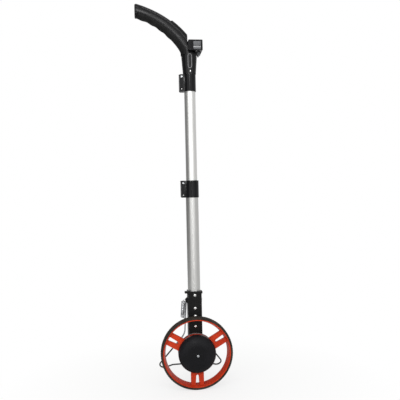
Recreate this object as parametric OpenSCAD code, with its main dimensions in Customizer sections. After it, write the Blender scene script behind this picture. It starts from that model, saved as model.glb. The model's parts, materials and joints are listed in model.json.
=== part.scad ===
// Digital measuring wheel: a single-sided wheel on a telescopic mast, with a pistol grip,
// a display pod and a wire stand.
// X points in the direction of travel, Y from the wheel towards the mast, Z up.
// The origin is the point where the tyre meets the ground.

/* [Wheel] */
// Distance that the wheel rolls in one turn
wheel_circumference = 500; // [460:1:560]
// Radial thickness of the tyre
tyre_t = 4.6; // [2.6:0.1:6]
// Width of the tyre
tyre_w = 20; // [18:0.5:23]
// Depth of the grooves round the tyre
tread_depth = 0.8; // [0.4:0.1:1.2]
// Width of the red rim
rim_w = 18; // [14:0.5:18]
// Radial thickness of the rim at its front edge
rim_lip = 2.4; // [2:0.1:4]
// Radial thickness of the rim at its back edge
rim_root = 6.6; // [4.5:0.1:9]
// Thickness of the spokes
web_t = 6; // [4:0.2:7]
// Number of spokes
spoke_count = 3; // [3:1:5]
// Width of a spoke
spoke_w = 28.5; // [20:0.5:32]
// Width of a spoke's slot at the hub
slot_hub_w = 5; // [4:0.1:7]
// Width of a spoke's slot at the rim
slot_rim_w = 8.6; // [6:0.1:12]
// Spoke left between the hub cover and the slot
slot_end = 3; // [2:0.1:8]
// Spoke left between the slot and the rim
slot_tip = 0.8; // [0.6:0.1:6]

/* [Hub] */
// Diameter of the hub barrel
hub_d = 79; // [72:0.5:80]
// Wall of the hub barrel
hub_wall = 3; // [2:0.1:4]
// Thickness of the disc across the hub
hub_disc_t = 4; // [3:0.1:5]
// Reach of the hub barrel behind the wheel's middle
hub_back = 12; // [11.5:0.5:14]
// Diameter of the domed cover in front of the hub
cover_d = 83; // [82:0.5:90]
// Depth of that cover
cover_depth = 20; // [18:0.5:26]
// Radial width of the cover's rounded shoulder
cover_round = 22; // [16:0.5:26]
// Depth of the cover's rounded shoulder
cover_dome = 15; // [10:0.5:16]
// Wall of the cover
cover_t = 2; // [1.5:0.1:2.5]
// Outer diameter of a bearing
bearing_od = 22; // [19:0.5:24]
// Width of a bearing
bearing_w = 7; // [6:0.5:7]
// Diameter of the axle
axle_d = 8; // [6:0.5:10]
// Diameter of the axle's tip in the cover
axle_tip_d = 5.6; // [4:0.1:6]
// Gap between the turning hub and the shield
running_gap = 0.6; // [0.4:0.1:1.2]
// Diameter of the shield behind the hub
shield_d = 81; // [78:0.5:90]
// Thickness of the shield
shield_t = 2.7; // [2:0.1:4]

/* [Bracket] */
// Width of the bracket across the direction of view
bracket_w = 30.4; // [30:0.2:38]
// Depth of the bracket
bracket_d = 30.4; // [30:0.2:38]
// Height of the bracket's top above the axle
bracket_rise = 132.6; // [130:0.2:145]
// Diameter of the boss round the axle
bracket_boss_d = 44; // [36:0.5:52]
// Diameter of the bracket screws
screw_d = 4; // [3.5:0.1:5]
// Height of the rim at the bracket's top
flange_h = 4.5; // [3:0.1:6]
// How far that rim stands proud
flange_out = 1.8; // [1:0.1:2]

/* [Mast] */
// Outer diameter of the lower tube
lower_od = 28; // [27.8:0.1:28.6]
// Outer diameter of the middle tube
middle_od = 25; // [24.8:0.1:25.2]
// Outer diameter of the inner tube
inner_od = 22; // [21.8:0.1:22.2]
// Wall of every tube
tube_wall = 1.2; // [1:0.05:1.25]
// Length of the lower tube held in the bracket
tube_in_bracket = 50; // [46:0.5:54]
// Length of lower tube that shows
lower_show = 209.8; // [200:0.2:240]
// Length of middle tube that shows when it is drawn right out
middle_show = 199; // [190:1:240]
// Travel of each of the two slides
slide_travel = 185; // [140:1:188]
// Length of tube that stays in the tube below at full stretch
tube_overlap = 58; // [50:1:70]

/* [Clamps] */
// Height of a clamp
clamp_h = 38.2; // [34:0.2:44]
// Height of the seat for the outer tube in a clamp
clamp_seat = 24; // [18:0.5:26]
// Wall of a clamp round the outer tube
clamp_wall = 1.5; // [1.2:0.1:2.5]
// Thickness of each cheek that holds the lever
cheek_t = 4; // [3:0.1:5]
// Width of a clamp lever
lever_w = 8.4; // [6:0.2:10]
// Diameter of the lever pins and clamp screws
clamp_pin_d = 3; // [2.5:0.1:3.5]

/* [Handle] */
// Height of the straight neck
neck_h = 42; // [38:0.5:46]
// Depth of the neck at its foot
neck_foot_d = 28.8; // [27.5:0.2:31]
// Depth of the neck at its top
neck_top_d = 35.4; // [32:0.2:37]
// Radius of the bend between neck and grip
neck_bend_r = 32; // [26:1:40]
// Angle of that bend
neck_bend_deg = 33; // [30:1:36]
// Radius of the curved grip
grip_bend_r = 190; // [170:1:230]
// Angle that the grip turns through
grip_bend_deg = 42; // [38:1:45]
// Depth of the grip where it leaves the neck
grip_root_d = 32.6; // [31:0.2:36]
// Depth of the grip at its waist
grip_waist_d = 28.8; // [27:0.2:32]
// Depth of the grip at its end
grip_end_d = 30.6; // [29:0.2:34]
// Width of the grip
grip_w = 29; // [28:0.2:33]
// Wall of the handle shells
shell_t = 2.4; // [2:0.1:3]
// Thickness of the rubber skins
skin_t = 1.7; // [1.2:0.1:2.2]
// Height of the thumb pad
pad_t = 2.4; // [1.6:0.1:3]
// Height of the swells between the fingers
finger_wave = 1.1; // [0.5:0.1:1.2]
// Thickness of the cap on the grip's end
end_cap_t = 4.2; // [2:0.1:5]
// Depth of the inner tube's socket in the neck
socket_depth = 43; // [38:0.5:44]

/* [Display pod] */
// Length of the pod along the direction of travel
pod_l = 32; // [31.5:0.5:38]
// Width of the pod
pod_w = 53; // [52:0.5:60]
// Height of the pod
pod_h = 23; // [22.5:0.5:28]
// Reach of the pod behind the mast's axis
pod_back = 4; // [3.5:0.1:5]
// Height of the pod's underside above the neck's foot
pod_rise = 48.4; // [48:0.2:56]
// Wall of the pod
pod_wall = 2; // [1.6:0.1:2.2]
// Thickness of the bezel on top
bezel_t = 3; // [2.6:0.1:3.6]
// Diameter of a key
button_d = 6; // [5:0.1:6.4]
// Travel of a key
button_travel = 1.2; // [0.6:0.1:1.4]
// Width of the trigger
trigger_w = 16; // [12:0.5:18]
// Drop of the trigger below the pod
trigger_drop = 8.8; // [8:0.2:12]

/* [Stand] */
// Diameter of the stand's wire
wire_d = 3.6; // [3:0.1:4]
// Depth of the stand's pivot below the bracket's top
pivot_drop = 19.2; // [18:0.2:26]
// Distance of that pivot behind the mast's axis
pivot_back = 11; // [10:0.2:12]
// Lean of the opened stand from upright
stand_lean = 31; // [26:1:36]
// Turn from the opened to the folded stand
stand_fold = 143; // [130:1:147]
// Distance along a leg from the pivot to its knee
knee_at = 112; // [90:1:130]
// Distance between the outer edges of the feet
feet_w = 156; // [140:1:170]
// Radius of the wire round a foot
foot_r = 11; // [8:0.5:13]
// Distance that the cross wire is drawn in from the feet
cross_rise = 9; // [3:0.5:12]
// Outer diameter of the tension spring
spring_od = 9.2; // [8.4:0.1:9.4]
// Diameter of the spring's wire
spring_wire_d = 1.1; // [0.9:0.05:1.2]
// Number of curls in the spring
spring_turns = 22; // [12:1:23]
// Distance from the stand's pivot to the spring's hook on the leg
spring_reach = 62; // [48:0.5:64]
// Distance from the stand's pivot to the spring's hook on the bracket
spring_offset = 7; // [6:0.2:8]

/* [Hidden] */
$fn = 96;
fit = 0.05;
slide_fit = 0.08;
clear = 0.4;
over = 1;

wheel_r = wheel_circumference / (2 * PI);
axle_z = wheel_r;
axle_r = axle_d / 2;
rim_r = wheel_r - tyre_t;
rim_mid_r = rim_r - (rim_lip + rim_root) / 2;
hub_r = hub_d / 2;
cover_r = cover_d / 2;
bearing_r = bearing_od / 2;
hub_boss_r = bearing_r + 4;
hub_front = -hub_disc_t;
bearing_back = hub_back - 2;
bearing_front = bearing_back - 2 * bearing_w - 4;
shoulder_r = bearing_r - 2;
cover_front = hub_front - cover_depth;
cover_screw_at = hub_r - hub_wall - 5;
cover_screw_r = 1.5;
axle_front = cover_front - 2;
axle_tip_r = axle_tip_d / 2;
magnet_in = hub_boss_r + 4;
magnet_out = magnet_in + 7;
magnet_t = 4;

shield_y = hub_back + running_gap;
bracket_y0 = shield_y + shield_t;
mast_y = bracket_y0 + bracket_d / 2;
bracket_y1 = bracket_y0 + bracket_d;
bracket_z1 = axle_z + bracket_rise;
lower_z0 = bracket_z1 - tube_in_bracket;
screw_drops = [8.2, 37.2, 54.7, 77.6];
screw_r = screw_d / 2;
lead_r = 1.5;
lead_x = 9;
lead_z = axle_z + hub_r - hub_wall - 5.6;

clamp_low_z = bracket_z1 + lower_show;
clamp_top_z = clamp_low_z + clamp_h + middle_show;
lower_z1 = clamp_low_z + clamp_seat;
middle_z0 = clamp_low_z + clamp_h - tube_overlap;
middle_z1 = clamp_top_z + clamp_seat;
inner_z0 = clamp_top_z + clamp_h - slide_travel - tube_overlap;
neck_z = clamp_top_z + clamp_h + 0.8;
inner_z1 = neck_z + socket_depth;
bush_h = 10;
lever_pin_gap = 4.5;
clamp_pin_inset = 5.5;
cheek_back = 5.2;
cheek_round = 3;
cheek_gap = lever_w / 2 + clear;
cheek_out = cheek_gap + cheek_t;
coil_z0 = bracket_z1 + 8;
coil_z1 = clamp_top_z;
coil_r = 6.5;
lead_top_x = -6.5;
lead_top_y = mast_y + 4;

pod_x0 = -pod_back;
pod_x1 = pod_x0 + pod_l;
pod_z0 = neck_z + pod_rise;
pod_z1 = pod_z0 + pod_h;
pod_lid = pod_z1 - bezel_t;
pod_in = pod_w / 2 - pod_wall;
board_t = 1.6;
lcd_t = 4.4;
board_z = pod_lid - lcd_t - board_t;
lead_top_z = board_z + board_t / 2;
key_flange = 0.9;
button_x = pod_x0 + pod_wall + clear + key_flange + button_d / 2;
button_pitch = 13;
lcd_x0 = button_x + button_d / 2 + 3;
lcd_x1 = pod_x1 - 4;
lcd_half = 18;
ledge = 1;
cell_r = 5.25;
cell_l = 44.5;
cell_z = pod_z0 + pod_wall + clear + cell_r;
cell_x = [pod_x0 + pod_wall + 0.6 + cell_r, pod_x0 + pod_wall + 1 + 3 * cell_r];
pod_far = mast_y + pod_w / 2;
door_t = 1.8;
door_rail = 1.2;
door_x1 = cell_x[1] + cell_r + 0.6;
door_z1 = cell_z + cell_r + 1;
trigger_pin_x = cell_x[1] + cell_r + 3.2;
trigger_pin_z = pod_z0 + 3.8;
trigger_pin_r = 1.2;
trigger_hub_r = 2.8;
trigger_back = neck_top_d / 2 - 0.9;
trigger_deg = 10;
trigger_pocket_x = trigger_back - 3.4;

pivot_y = mast_y + pivot_back;
pivot_z = bracket_z1 - pivot_drop;
wire_r = wire_d / 2;
pivot_bend = clear + wire_r - fit;
pivot_out = bracket_w / 2 + fit;
pivot_in = sqrt(pow(lower_od / 2, 2) - pow(pivot_back - wire_r, 2)) + clear;
leg_x = pivot_out + pivot_bend;
leg_l = (pivot_z - wire_r) / cos(stand_lean);
hook_angle = stand_fold / 2 - (90 - stand_lean);
anchor = [0, pivot_y - spring_offset * cos(hook_angle), pivot_z - spring_offset * sin(hook_angle)];
spring_hook = [0, pivot_y + spring_reach * sin(stand_lean), pivot_z - spring_reach * cos(stand_lean)];
spring_l = norm(spring_hook - anchor);
spring_dir = (spring_hook - anchor) / spring_l;
spring_r = (spring_od - spring_wire_d) / 2;
spring_x = -(leg_x + wire_r + spring_od / 2 + clear);
spring_end = 7.2;
lug_x = -(leg_x + wire_r + 0.9);
lug_half = 3.6;

// Shapes drawn with X across and Z up, carried from y0 to y1
module slab(y0, y1) {
    translate([0, y1, 0])
        rotate([90, 0, 0])
            linear_extrude(y1 - y0) children();
}

// Shapes drawn with Y across and Z up, carried from x0 to x1
module plate(x0, x1) {
    translate([x0, 0, 0])
        rotate([90, 0, 90])
            linear_extrude(x1 - x0) children();
}

// Profiles drawn with radius and y, turned about the axle
module turned() {
    translate([0, 0, axle_z])
        rotate([-90, 0, 0])
            rotate_extrude() children();
}

module rod_x(r, x0, x1, y, z) {
    translate([x0, y, z])
        rotate([0, 90, 0])
            cylinder(r = r, h = x1 - x0);
}

module rod_y(r, y0, y1, x, z) {
    translate([x, y0, z])
        rotate([-90, 0, 0])
            cylinder(r = r, h = y1 - y0);
}

module rod_z(r, z0, z1, x, y) {
    translate([x, y, z0])
        rotate(40)
            cylinder(r = r, h = z1 - z0);
}

module block(x0, x1, y0, y1, z0, z1) {
    translate([x0, y0, z0])
        cube([x1 - x0, y1 - y0, z1 - z0]);
}

module tube(od, z0, z1) {
    difference() {
        rod_z(od / 2, z0, z1, 0, mast_y);
        rod_z(od / 2 - tube_wall, z0 - over, z1 + over, 0, mast_y);
    }
}

// Pan-headed screw along Y with its head at the low end
module screw(r, head_r, head_h, y0, y1, x, z) {
    slot = head_r / 7;
    slot_floor = y0 - head_h / 2;
    rod_y(r, y0, y1, x, z);
    difference() {
        rod_y(head_r, y0 - head_h, y0, x, z);
        block(x - head_r, x + head_r, slot_floor - head_h, slot_floor, z - slot, z + slot);
        block(x - slot, x + slot, slot_floor - head_h, slot_floor, z - head_r, z + head_r);
    }
}

module nut(flats, h, bore_r, y0, x, z) {
    translate([x, y0, z])
        rotate([-90, 0, 0])
            difference() {
                cylinder(r = flats / 2 / cos(30), h = h, $fn = 6);
                translate([0, 0, -over])
                    cylinder(r = bore_r, h = h + 2 * over, $fn = 48);
            }
}

// Rectangle with rounded corners, from its lower left to its upper right corner
module round_rect(x0, z0, x1, z1, r) {
    polygon([
        for (c = [[x1 - r, z1 - r, 0], [x0 + r, z1 - r, 90], [x0 + r, z0 + r, 180], [x1 - r, z0 + r, 270]])
            for (a = [0:15:90])
                [c[0] + r * cos(c[2] + a), c[1] + r * sin(c[2] + a)]
    ]);
}

// Closed rings of points, each with as many points as the next, joined to one solid.
// A ring runs anticlockwise as seen from further along the path, and caps lists its triangles.
module stacked(rings, caps) {
    n = len(rings[0]);
    last = (len(rings) - 1) * n;
    polyhedron(
        points = [for (ring = rings) for (p = ring) p],
        faces = concat(
            [for (i = [0:n:last - n])
                for (k = [0:n - 1])
                    [i + k, i + n + k, i + n + (k + 1) % n]],
            [for (i = [0:n:last - n])
                for (k = [0:n - 1])
                    [i + k, i + n + (k + 1) % n, i + (k + 1) % n]],
            caps,
            [for (c = caps) [last + c[2], last + c[1], last + c[0]]]
        )
    );
}

function fan(n) = [for (k = [1:n - 2]) [0, k, k + 1]];
function unit(v) = v / norm(v);

// Rings of a round wire along a path, kept from twisting by a direction that is never along the path
function wire_rings(path, r, sides, side_dir) = [
    for (i = [0:len(path) - 1])
        let (t = unit(path[min(i + 1, len(path) - 1)] - path[max(i - 1, 0)]))
        let (m = unit(cross(side_dir(i), t)))
        let (b = cross(t, m))
        [for (k = [0:sides - 1]) path[i] + r * (cos(360 * k / sides) * m + sin(360 * k / sides) * b)]
];

// Wheel

module tyre() {
    groove = tyre_w / 8;
    color("#26231f")
        turned()
            polygon([
                [rim_r, -tyre_w / 2],
                [wheel_r - tread_depth, -tyre_w / 2],
                [wheel_r, -tyre_w / 2 + groove],
                [wheel_r, -groove * 1.5],
                [wheel_r - tread_depth, -groove],
                [wheel_r - tread_depth, groove],
                [wheel_r, groove * 1.5],
                [wheel_r, tyre_w / 2 - groove],
                [wheel_r - tread_depth, tyre_w / 2],
                [rim_r, tyre_w / 2]
            ]);
}

// A spoke ends inside the rim, so that its corners stay under the tyre
module spoke_outline() {
    root = hub_r - hub_wall;
    tip = sqrt(pow(rim_r - rim_lip / 2, 2) - pow(spoke_w / 2, 2));
    difference() {
        translate([root, -spoke_w / 2])
            square([tip - root, spoke_w]);
        spoke_slot(cover_r + slot_end, rim_mid_r - slot_tip, slot_hub_w / 2, slot_rim_w / 2);
    }
}

// Long hole along the spoke, wider at the rim, with its corners cut off
module spoke_slot(from, to, half_from, half_to) {
    corner = half_from / 3;
    polygon([
        [from, -half_from + corner], [from + corner, -half_from], [to - corner, -half_to],
        [to, -half_to + corner], [to, half_to - corner], [to - corner, half_to],
        [from + corner, half_from], [from, half_from - corner]
    ]);
}

module wheel_body() {
    color("#b8391f")
        difference() {
            union() {
                turned()
                    polygon([
                        [rim_r - rim_lip, -rim_w / 2], [rim_r, -rim_w / 2],
                        [rim_r, rim_w / 2], [rim_r - rim_root, rim_w / 2]
                    ]);
                translate([0, web_t / 2, axle_z])
                    rotate([90, 0, 0])
                        linear_extrude(web_t)
                            for (i = [0:spoke_count - 1])
                                rotate(-90 + 360 * i / spoke_count) spoke_outline();
                turned()
                    polygon([
                        [hub_boss_r - 2, hub_front], [cover_r - 1, hub_front], [cover_r - 1, 0],
                        [hub_r, 0], [hub_r, hub_back],
                        [hub_r - hub_wall, hub_back], [hub_r - hub_wall, 0], [hub_boss_r - 2, 0]
                    ]);
                rod_y(hub_boss_r, bearing_front - 1, bearing_back, 0, axle_z);
            }
            rod_y(shoulder_r, bearing_front - 2 * over, bearing_back + over, 0, axle_z);
            rod_y(bearing_r, bearing_front - 2 * over, bearing_front + bearing_w, 0, axle_z);
            rod_y(bearing_r, bearing_back - bearing_w, bearing_back + over, 0, axle_z);
            cover_screw_places()
                rod_y(cover_screw_r + fit, hub_front - over, over, 0, 0);
        }
}

module cover_screw_places() {
    for (a = [30, 150, 270])
        translate([cover_screw_at * cos(a), 0, axle_z + cover_screw_at * sin(a)]) children();
}

// Dome of the cover, drawn smaller all round by an inset
module cover_form(inset) {
    back = hub_front + (inset > 0 ? over : 0);
    turned()
        polygon(concat(
            [[0, back], [0, cover_front + inset]],
            [for (a = [0:10:90])
                [cover_r - cover_round + (cover_round - inset) * sin(a),
                    cover_front + cover_dome - (cover_dome - inset) * cos(a)]],
            [[cover_r - inset, back]]
        ));
}

module hub_cover() {
    color("#1b1b1c")
        difference() {
            cover_form(0);
            difference() {
                cover_form(cover_t);
                cover_screw_places()
                    rod_y(3.2, cover_front - over, hub_front, 0, 0);
            }
            rod_y(axle_tip_r + clear, cover_front - over, hub_front, 0, axle_z);
            cover_screw_places()
                rod_y(cover_screw_r + fit, hub_front - 9, hub_front + over, 0, 0);
        }
}

module hub_cover_screws() {
    color("silver")
        cover_screw_places() {
            rod_y(cover_screw_r, hub_front - 8, 0, 0, 0);
            rod_y(2.8, 0, 2, 0, 0);
        }
}

module bearing(y0) {
    groove_in = axle_r + 2.4;
    groove_out = bearing_r - 2.4;
    color("silver")
        turned()
            polygon([
                [axle_r + slide_fit, y0], [groove_in, y0], [groove_in, y0 + 0.5], [groove_out, y0 + 0.5],
                [groove_out, y0], [bearing_r, y0], [bearing_r, y0 + bearing_w], [groove_out, y0 + bearing_w],
                [groove_out, y0 + bearing_w - 0.5], [groove_in, y0 + bearing_w - 0.5],
                [groove_in, y0 + bearing_w], [axle_r + slide_fit, y0 + bearing_w]
            ]);
}

module front_bearing() { bearing(bearing_front); }

module rear_bearing() { bearing(bearing_back - bearing_w); }

module magnet_ring() {
    color("#303030")
        turned()
            translate([magnet_in, 0])
                square([magnet_out - magnet_in, magnet_t]);
}

// Bracket and axle

module axle() {
    shoulder = bearing_front - 7;
    color("silver") {
        rod_y(axle_tip_r, axle_front, shoulder + over, 0, axle_z);
        rod_y(axle_r, shoulder, bracket_y1 + 7, 0, axle_z);
        difference() {
            rod_y(axle_r + 1.6, bearing_back + clear, shield_y, 0, axle_z);
            rod_y(axle_r - 1, bearing_back, shield_y + over, 0, axle_z);
        }
    }
}

module axle_nuts() {
    flats = axle_d * 1.6;
    color("silver") {
        nut(flats, 5.5, axle_r + fit / 2, bracket_y1, 0, axle_z);
        nut(flats, 4.5, axle_r + fit / 2, bearing_front - clear - 4.5, 0, axle_z);
    }
}

module bearing_spacer() {
    color("silver")
        difference() {
            rod_y(axle_r + 2, bearing_front + bearing_w + clear, bearing_back - bearing_w - clear, 0, axle_z);
            rod_y(axle_r + fit / 2, bearing_front, bearing_back, 0, axle_z);
        }
}

module screw_places() {
    for (d = screw_drops)
        translate([0, 0, bracket_z1 - d]) children();
}

module shield_screw_places() {
    for (s = [-1, 1])
        translate([s * 13, 0, axle_z - 12]) children();
}

module bracket_outline() {
    translate([-bracket_w / 2, axle_z])
        square([bracket_w, bracket_rise]);
    translate([0, axle_z])
        circle(d = bracket_boss_d);
}

// Everything that passes through both halves of the bracket
module bracket_holes() {
    rod_z(lower_od / 2 + fit, lower_z0, bracket_z1 + over, 0, mast_y);
    screw_places()
        rod_y(screw_r + fit, bracket_y0 - 2 * over - flange_out, bracket_y1 + over, 0, 0);
    rod_y(axle_r + fit / 2, bracket_y0 - over, bracket_y1 + over, 0, axle_z);
    rod_y(lead_r + clear, bracket_y0 - over, mast_y + lead_r + clear, lead_x, lead_z);
    rod_z(lead_r + clear, lead_z, lower_z0 + over, lead_x, mast_y);
    shield_screw_places()
        rod_y(1.5 + fit, bracket_y0 - over, bracket_y0 + 10, 0, 0);
}

module bracket_front() {
    wide = bracket_w / 2 + flange_out;
    color("#1d1d1e")
        difference() {
            union() {
                slab(bracket_y0, mast_y) bracket_outline();
                block(-wide, wide, bracket_y0 - flange_out, mast_y, bracket_z1 - flange_h, bracket_z1);
                block(-wide - 4.8, 0, mast_y - 10, mast_y - 2, bracket_z1 - flange_h, bracket_z1);
            }
            bracket_holes();
        }
}

module bracket_rear() {
    color("#1d1d1e")
        difference() {
            union() {
                slab(mast_y, bracket_y1) bracket_outline();
                slab(anchor[1] - lug_half, anchor[1] + lug_half)
                    polygon([
                        [-bracket_w / 2 + 2, anchor[2] - 12], [lug_x, anchor[2] - 3],
                        [lug_x, anchor[2] + 1.5], [-bracket_w / 2 + 2, anchor[2] + 7]
                    ]);
            }
            bracket_holes();
            rod_x(wire_r + slide_fit, pivot_in - clear, bracket_w, pivot_y, pivot_z);
            rod_x(wire_r + slide_fit, -bracket_w, clear - pivot_in, pivot_y, pivot_z);
            rod_x(spring_wire_d / 2 + 0.35, lug_x - over, lug_x + 5, anchor[1], anchor[2]);
        }
}

module bracket_screws() {
    color("silver")
        screw_places()
            screw(screw_r, screw_r * 1.75, 2.6, bracket_y0, bracket_y1 + 4.5, 0, 0);
}

module bracket_nuts() {
    color("silver")
        screw_places()
            nut(screw_d * 1.6, 4, screw_r + fit / 2, bracket_y1, 0, 0);
}

module hub_shield() {
    color("#232324")
        difference() {
            rod_y(shield_d / 2, shield_y, bracket_y0, 0, axle_z);
            rod_y(axle_r + fit / 2, shield_y - over, bracket_y0 + over, 0, axle_z);
            rod_y(lead_r + clear, shield_y - over, bracket_y0 + over, lead_x, lead_z);
            shield_screw_places()
                rod_y(1.5 + fit, shield_y - over, bracket_y0 + over, 0, 0);
        }
}

module shield_screws() {
    color("silver")
        shield_screw_places()
            screw(1.5, 2.6, 1.4, shield_y, bracket_y0 + 9, 0, 0);
}

module sensor_board() {
    mid = axle_z + (magnet_in + magnet_out) / 2;
    chip = 3;
    edge = lead_r + 1.1;
    color("darkgreen")
        difference() {
            union() {
                block(-2 * chip, lead_x + edge, shield_y - board_t, shield_y, axle_z + magnet_in - chip,
                    lead_z + edge);
                block(-chip, chip, magnet_t + 1, shield_y - board_t, mid - chip, mid + chip);
            }
            rod_y(lead_r + fit, shield_y - board_t - over, shield_y + over, lead_x, lead_z);
        }
}

module sensor_lead() {
    color("#202020") {
        rod_y(lead_r, shield_y - board_t - 0.4, mast_y + lead_r, lead_x, lead_z);
        rod_z(lead_r, lead_z, coil_z0 + 2 * lead_r, lead_x, mast_y);
        rod_x(lead_r, 0, lead_x, mast_y, coil_z0 + lead_r);
        difference() {
            rod_z(coil_r, coil_z0, coil_z1, 0, mast_y);
            rod_z(coil_r - 3 * lead_r / 2, coil_z0 + 2 * lead_r, coil_z1 + over, 0, mast_y);
        }
        rod_z(lead_r, coil_z1 - 6, lead_top_z + lead_r, lead_top_x, lead_top_y);
        rod_x(lead_r, lead_top_x, pod_x0 + pod_wall, lead_top_y, lead_top_z);
    }
}

// Mast

module lower_tube() {
    color("#c9ccd0")
        difference() {
            tube(lower_od, lower_z0, lower_z1);
            screw_places()
                rod_y(screw_r + fit, bracket_y0, bracket_y1, 0, 0);
        }
}

module middle_tube() {
    color("#c9ccd0") tube(middle_od, middle_z0, middle_z1);
}

module inner_tube() {
    color("#c9ccd0") tube(inner_od, inner_z0, inner_z1);
}

// Guide bush under a tube's lower end, with a spigot in the tube
module bush(od, outer_od, z) {
    spigot_r = od / 2 - tube_wall - fit;
    color("#2a2a2a")
        difference() {
            union() {
                rod_z(outer_od / 2 - tube_wall - slide_fit, z - bush_h, z, 0, mast_y);
                rod_z(spigot_r, z - over, z + 8, 0, mast_y);
            }
            rod_z(spigot_r - 1.2, z - bush_h - over, z + 8 + over, 0, mast_y);
        }
}

module middle_bush() { bush(middle_od, lower_od, middle_z0); }

module inner_bush() { bush(inner_od, middle_od, inner_z0); }

// Clamps: a split collar with two cheeks, a pin for the lever and a screw

function clamp_r(od) = od / 2 + clamp_wall;
function lever_x(od) = -(clamp_r(od) + lever_pin_gap);

module cheek_outline(od) {
    round_rect(lever_x(od) - cheek_back, 0, -od / 4, clamp_h, cheek_round);
}

module collar(od, inner, z) {
    color("#1b1b1c")
        translate([0, mast_y, z])
            difference() {
                union() {
                    cylinder(r = clamp_r(od), h = clamp_h);
                    slab(-cheek_out, -cheek_gap) cheek_outline(od);
                    slab(cheek_gap, cheek_out) cheek_outline(od);
                }
                translate([0, 0, -over])
                    cylinder(r = od / 2 + fit, h = clamp_seat + over);
                cylinder(r = inner / 2 + slide_fit, h = clamp_h + over);
                block(-od, 0, -1.2, 1.2, clamp_seat + 2, clamp_h + over);
                for (h = [clamp_pin_inset, clamp_h - clamp_pin_inset])
                    rod_y(clamp_pin_d / 2 + fit / 2, -cheek_out - over, cheek_out + over, lever_x(od), h);
            }
}

module clamp_pin(od, z) {
    color("silver")
        translate([0, mast_y, z + clamp_pin_inset]) {
            rod_y(clamp_pin_d / 2, -cheek_out - 1, cheek_out + 1, lever_x(od), 0);
            rod_y(clamp_pin_d / 2 + 0.5, -cheek_out - 1.2, -cheek_out, lever_x(od), 0);
            rod_y(clamp_pin_d / 2 + 0.5, cheek_out, cheek_out + 1.2, lever_x(od), 0);
        }
}

module clamp_screw(od, z) {
    color("silver")
        translate([0, mast_y, z + clamp_h - clamp_pin_inset]) {
            screw(clamp_pin_d / 2, clamp_pin_d / 2 + 0.6, 1.6, -cheek_out, cheek_out + 2.6, lever_x(od), 0);
            nut(clamp_pin_d * 1.8, 2.2, clamp_pin_d / 2 - fit, cheek_out, lever_x(od), 0);
        }
}

module lever(od, z) {
    hub = clamp_pin_d / 2 + 1.1;
    reach = clamp_h - clamp_pin_inset;
    bar_in = -(clamp_pin_d / 2 + 0.6);
    bar_out = bar_in - 2.2;
    color("#161617")
        translate([lever_x(od), mast_y, z + clamp_pin_inset])
            difference() {
                slab(-lever_w / 2, lever_w / 2)
                    polygon(concat(
                        [for (a = [-90:15:90]) hub * [cos(a), sin(a)]],
                        [
                            [bar_in, hub + 1], [bar_in, reach - 4], [bar_in - 0.8, reach],
                            [bar_out - 1.4, reach], [bar_out - 1.4, reach - 2], [bar_out, reach - 6],
                            [bar_out, -hub / 2], [bar_out / 3 * 2, -hub * 0.8]
                        ]
                    ));
                rod_y(clamp_pin_d / 2 + slide_fit, -lever_w, lever_w, 0, 0);
            }
}

module middle_collar() { collar(lower_od, middle_od, clamp_low_z); }

module middle_clamp_pin() { clamp_pin(lower_od, clamp_low_z); }

module middle_clamp_screw() { clamp_screw(lower_od, clamp_low_z); }

module middle_lever() { lever(lower_od, clamp_low_z); }

module top_collar() { collar(middle_od, inner_od, clamp_top_z); }

module top_clamp_pin() { clamp_pin(middle_od, clamp_top_z); }

module top_clamp_screw() { clamp_screw(middle_od, clamp_top_z); }

module top_lever() { lever(middle_od, clamp_top_z); }

// Handle: a section carried along a straight neck and two arcs

bend_l = neck_bend_r * neck_bend_deg * PI / 180;
grip_l = grip_bend_r * grip_bend_deg * PI / 180;
bend_at = neck_h;
grip_at = neck_h + bend_l;
grip_end = grip_at + grip_l;
grip_past = grip_end + 12;
bend_end = [-neck_bend_r * (1 - cos(neck_bend_deg)), neck_z + neck_h + neck_bend_r * sin(neck_bend_deg)];

// Turn of the path from upright at a distance along it
function path_turn(t) =
    t <= bend_at ? 0
    : t <= grip_at ? (t - bend_at) / neck_bend_r * 180 / PI
    : neck_bend_deg + (t - grip_at) / grip_bend_r * 180 / PI;

// Point of the path as X and Z
function path_point(t) =
    let (a = path_turn(t))
    t <= bend_at ? [0, neck_z + t]
    : t <= grip_at ? [-neck_bend_r * (1 - cos(a)), neck_z + neck_h + neck_bend_r * sin(a)]
    : bend_end + grip_bend_r * [cos(a) - cos(neck_bend_deg), sin(a) - sin(neck_bend_deg)];

function half_depth(t) = lookup(t, [
    [0, neck_foot_d / 2], [bend_at, neck_top_d / 2], [grip_at, grip_root_d / 2],
    [grip_at + 0.24 * grip_l, grip_root_d / 2 - 0.4], [grip_at + 0.8 * grip_l, grip_waist_d / 2],
    [grip_past, grip_end_d / 2]
]);

function half_width(t) = lookup(t, [
    [0, neck_foot_d / 2], [bend_at, (neck_foot_d + neck_top_d) / 4], [grip_at, grip_w / 2 + 1],
    [grip_at + 0.3 * grip_l, grip_w / 2], [grip_past, grip_w / 2]
]);

skin_from = grip_at + 0.1 * grip_l;
skin_to = grip_end - 5;
pad_from = grip_at + 4;
pad_to = grip_at + 0.46 * grip_l;
skin_step = 0.4;

// Inset of the shell under a rubber skin
function skin_inset(t) = lookup(t, [
    [skin_from - skin_step, 0], [skin_from, skin_t], [skin_to, skin_t], [skin_to + skin_step, 0]
]);

function squared(s) = sign(s) * pow(abs(s), 0.85);

// Point of the handle's surface at a distance along the path and a turn round it.
// Turn -90 is the underside, 0 the near side and 90 the top.
function skin_point(t, turn, off) =
    let (a = path_turn(t))
    let (p = path_point(t))
    let (u = (half_depth(t) + off) * squared(sin(turn)))
    let (v = (half_width(t) + off) * squared(cos(turn)))
    [p[0] + u * cos(a), mast_y - v, p[1] + u * sin(a)];

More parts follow.
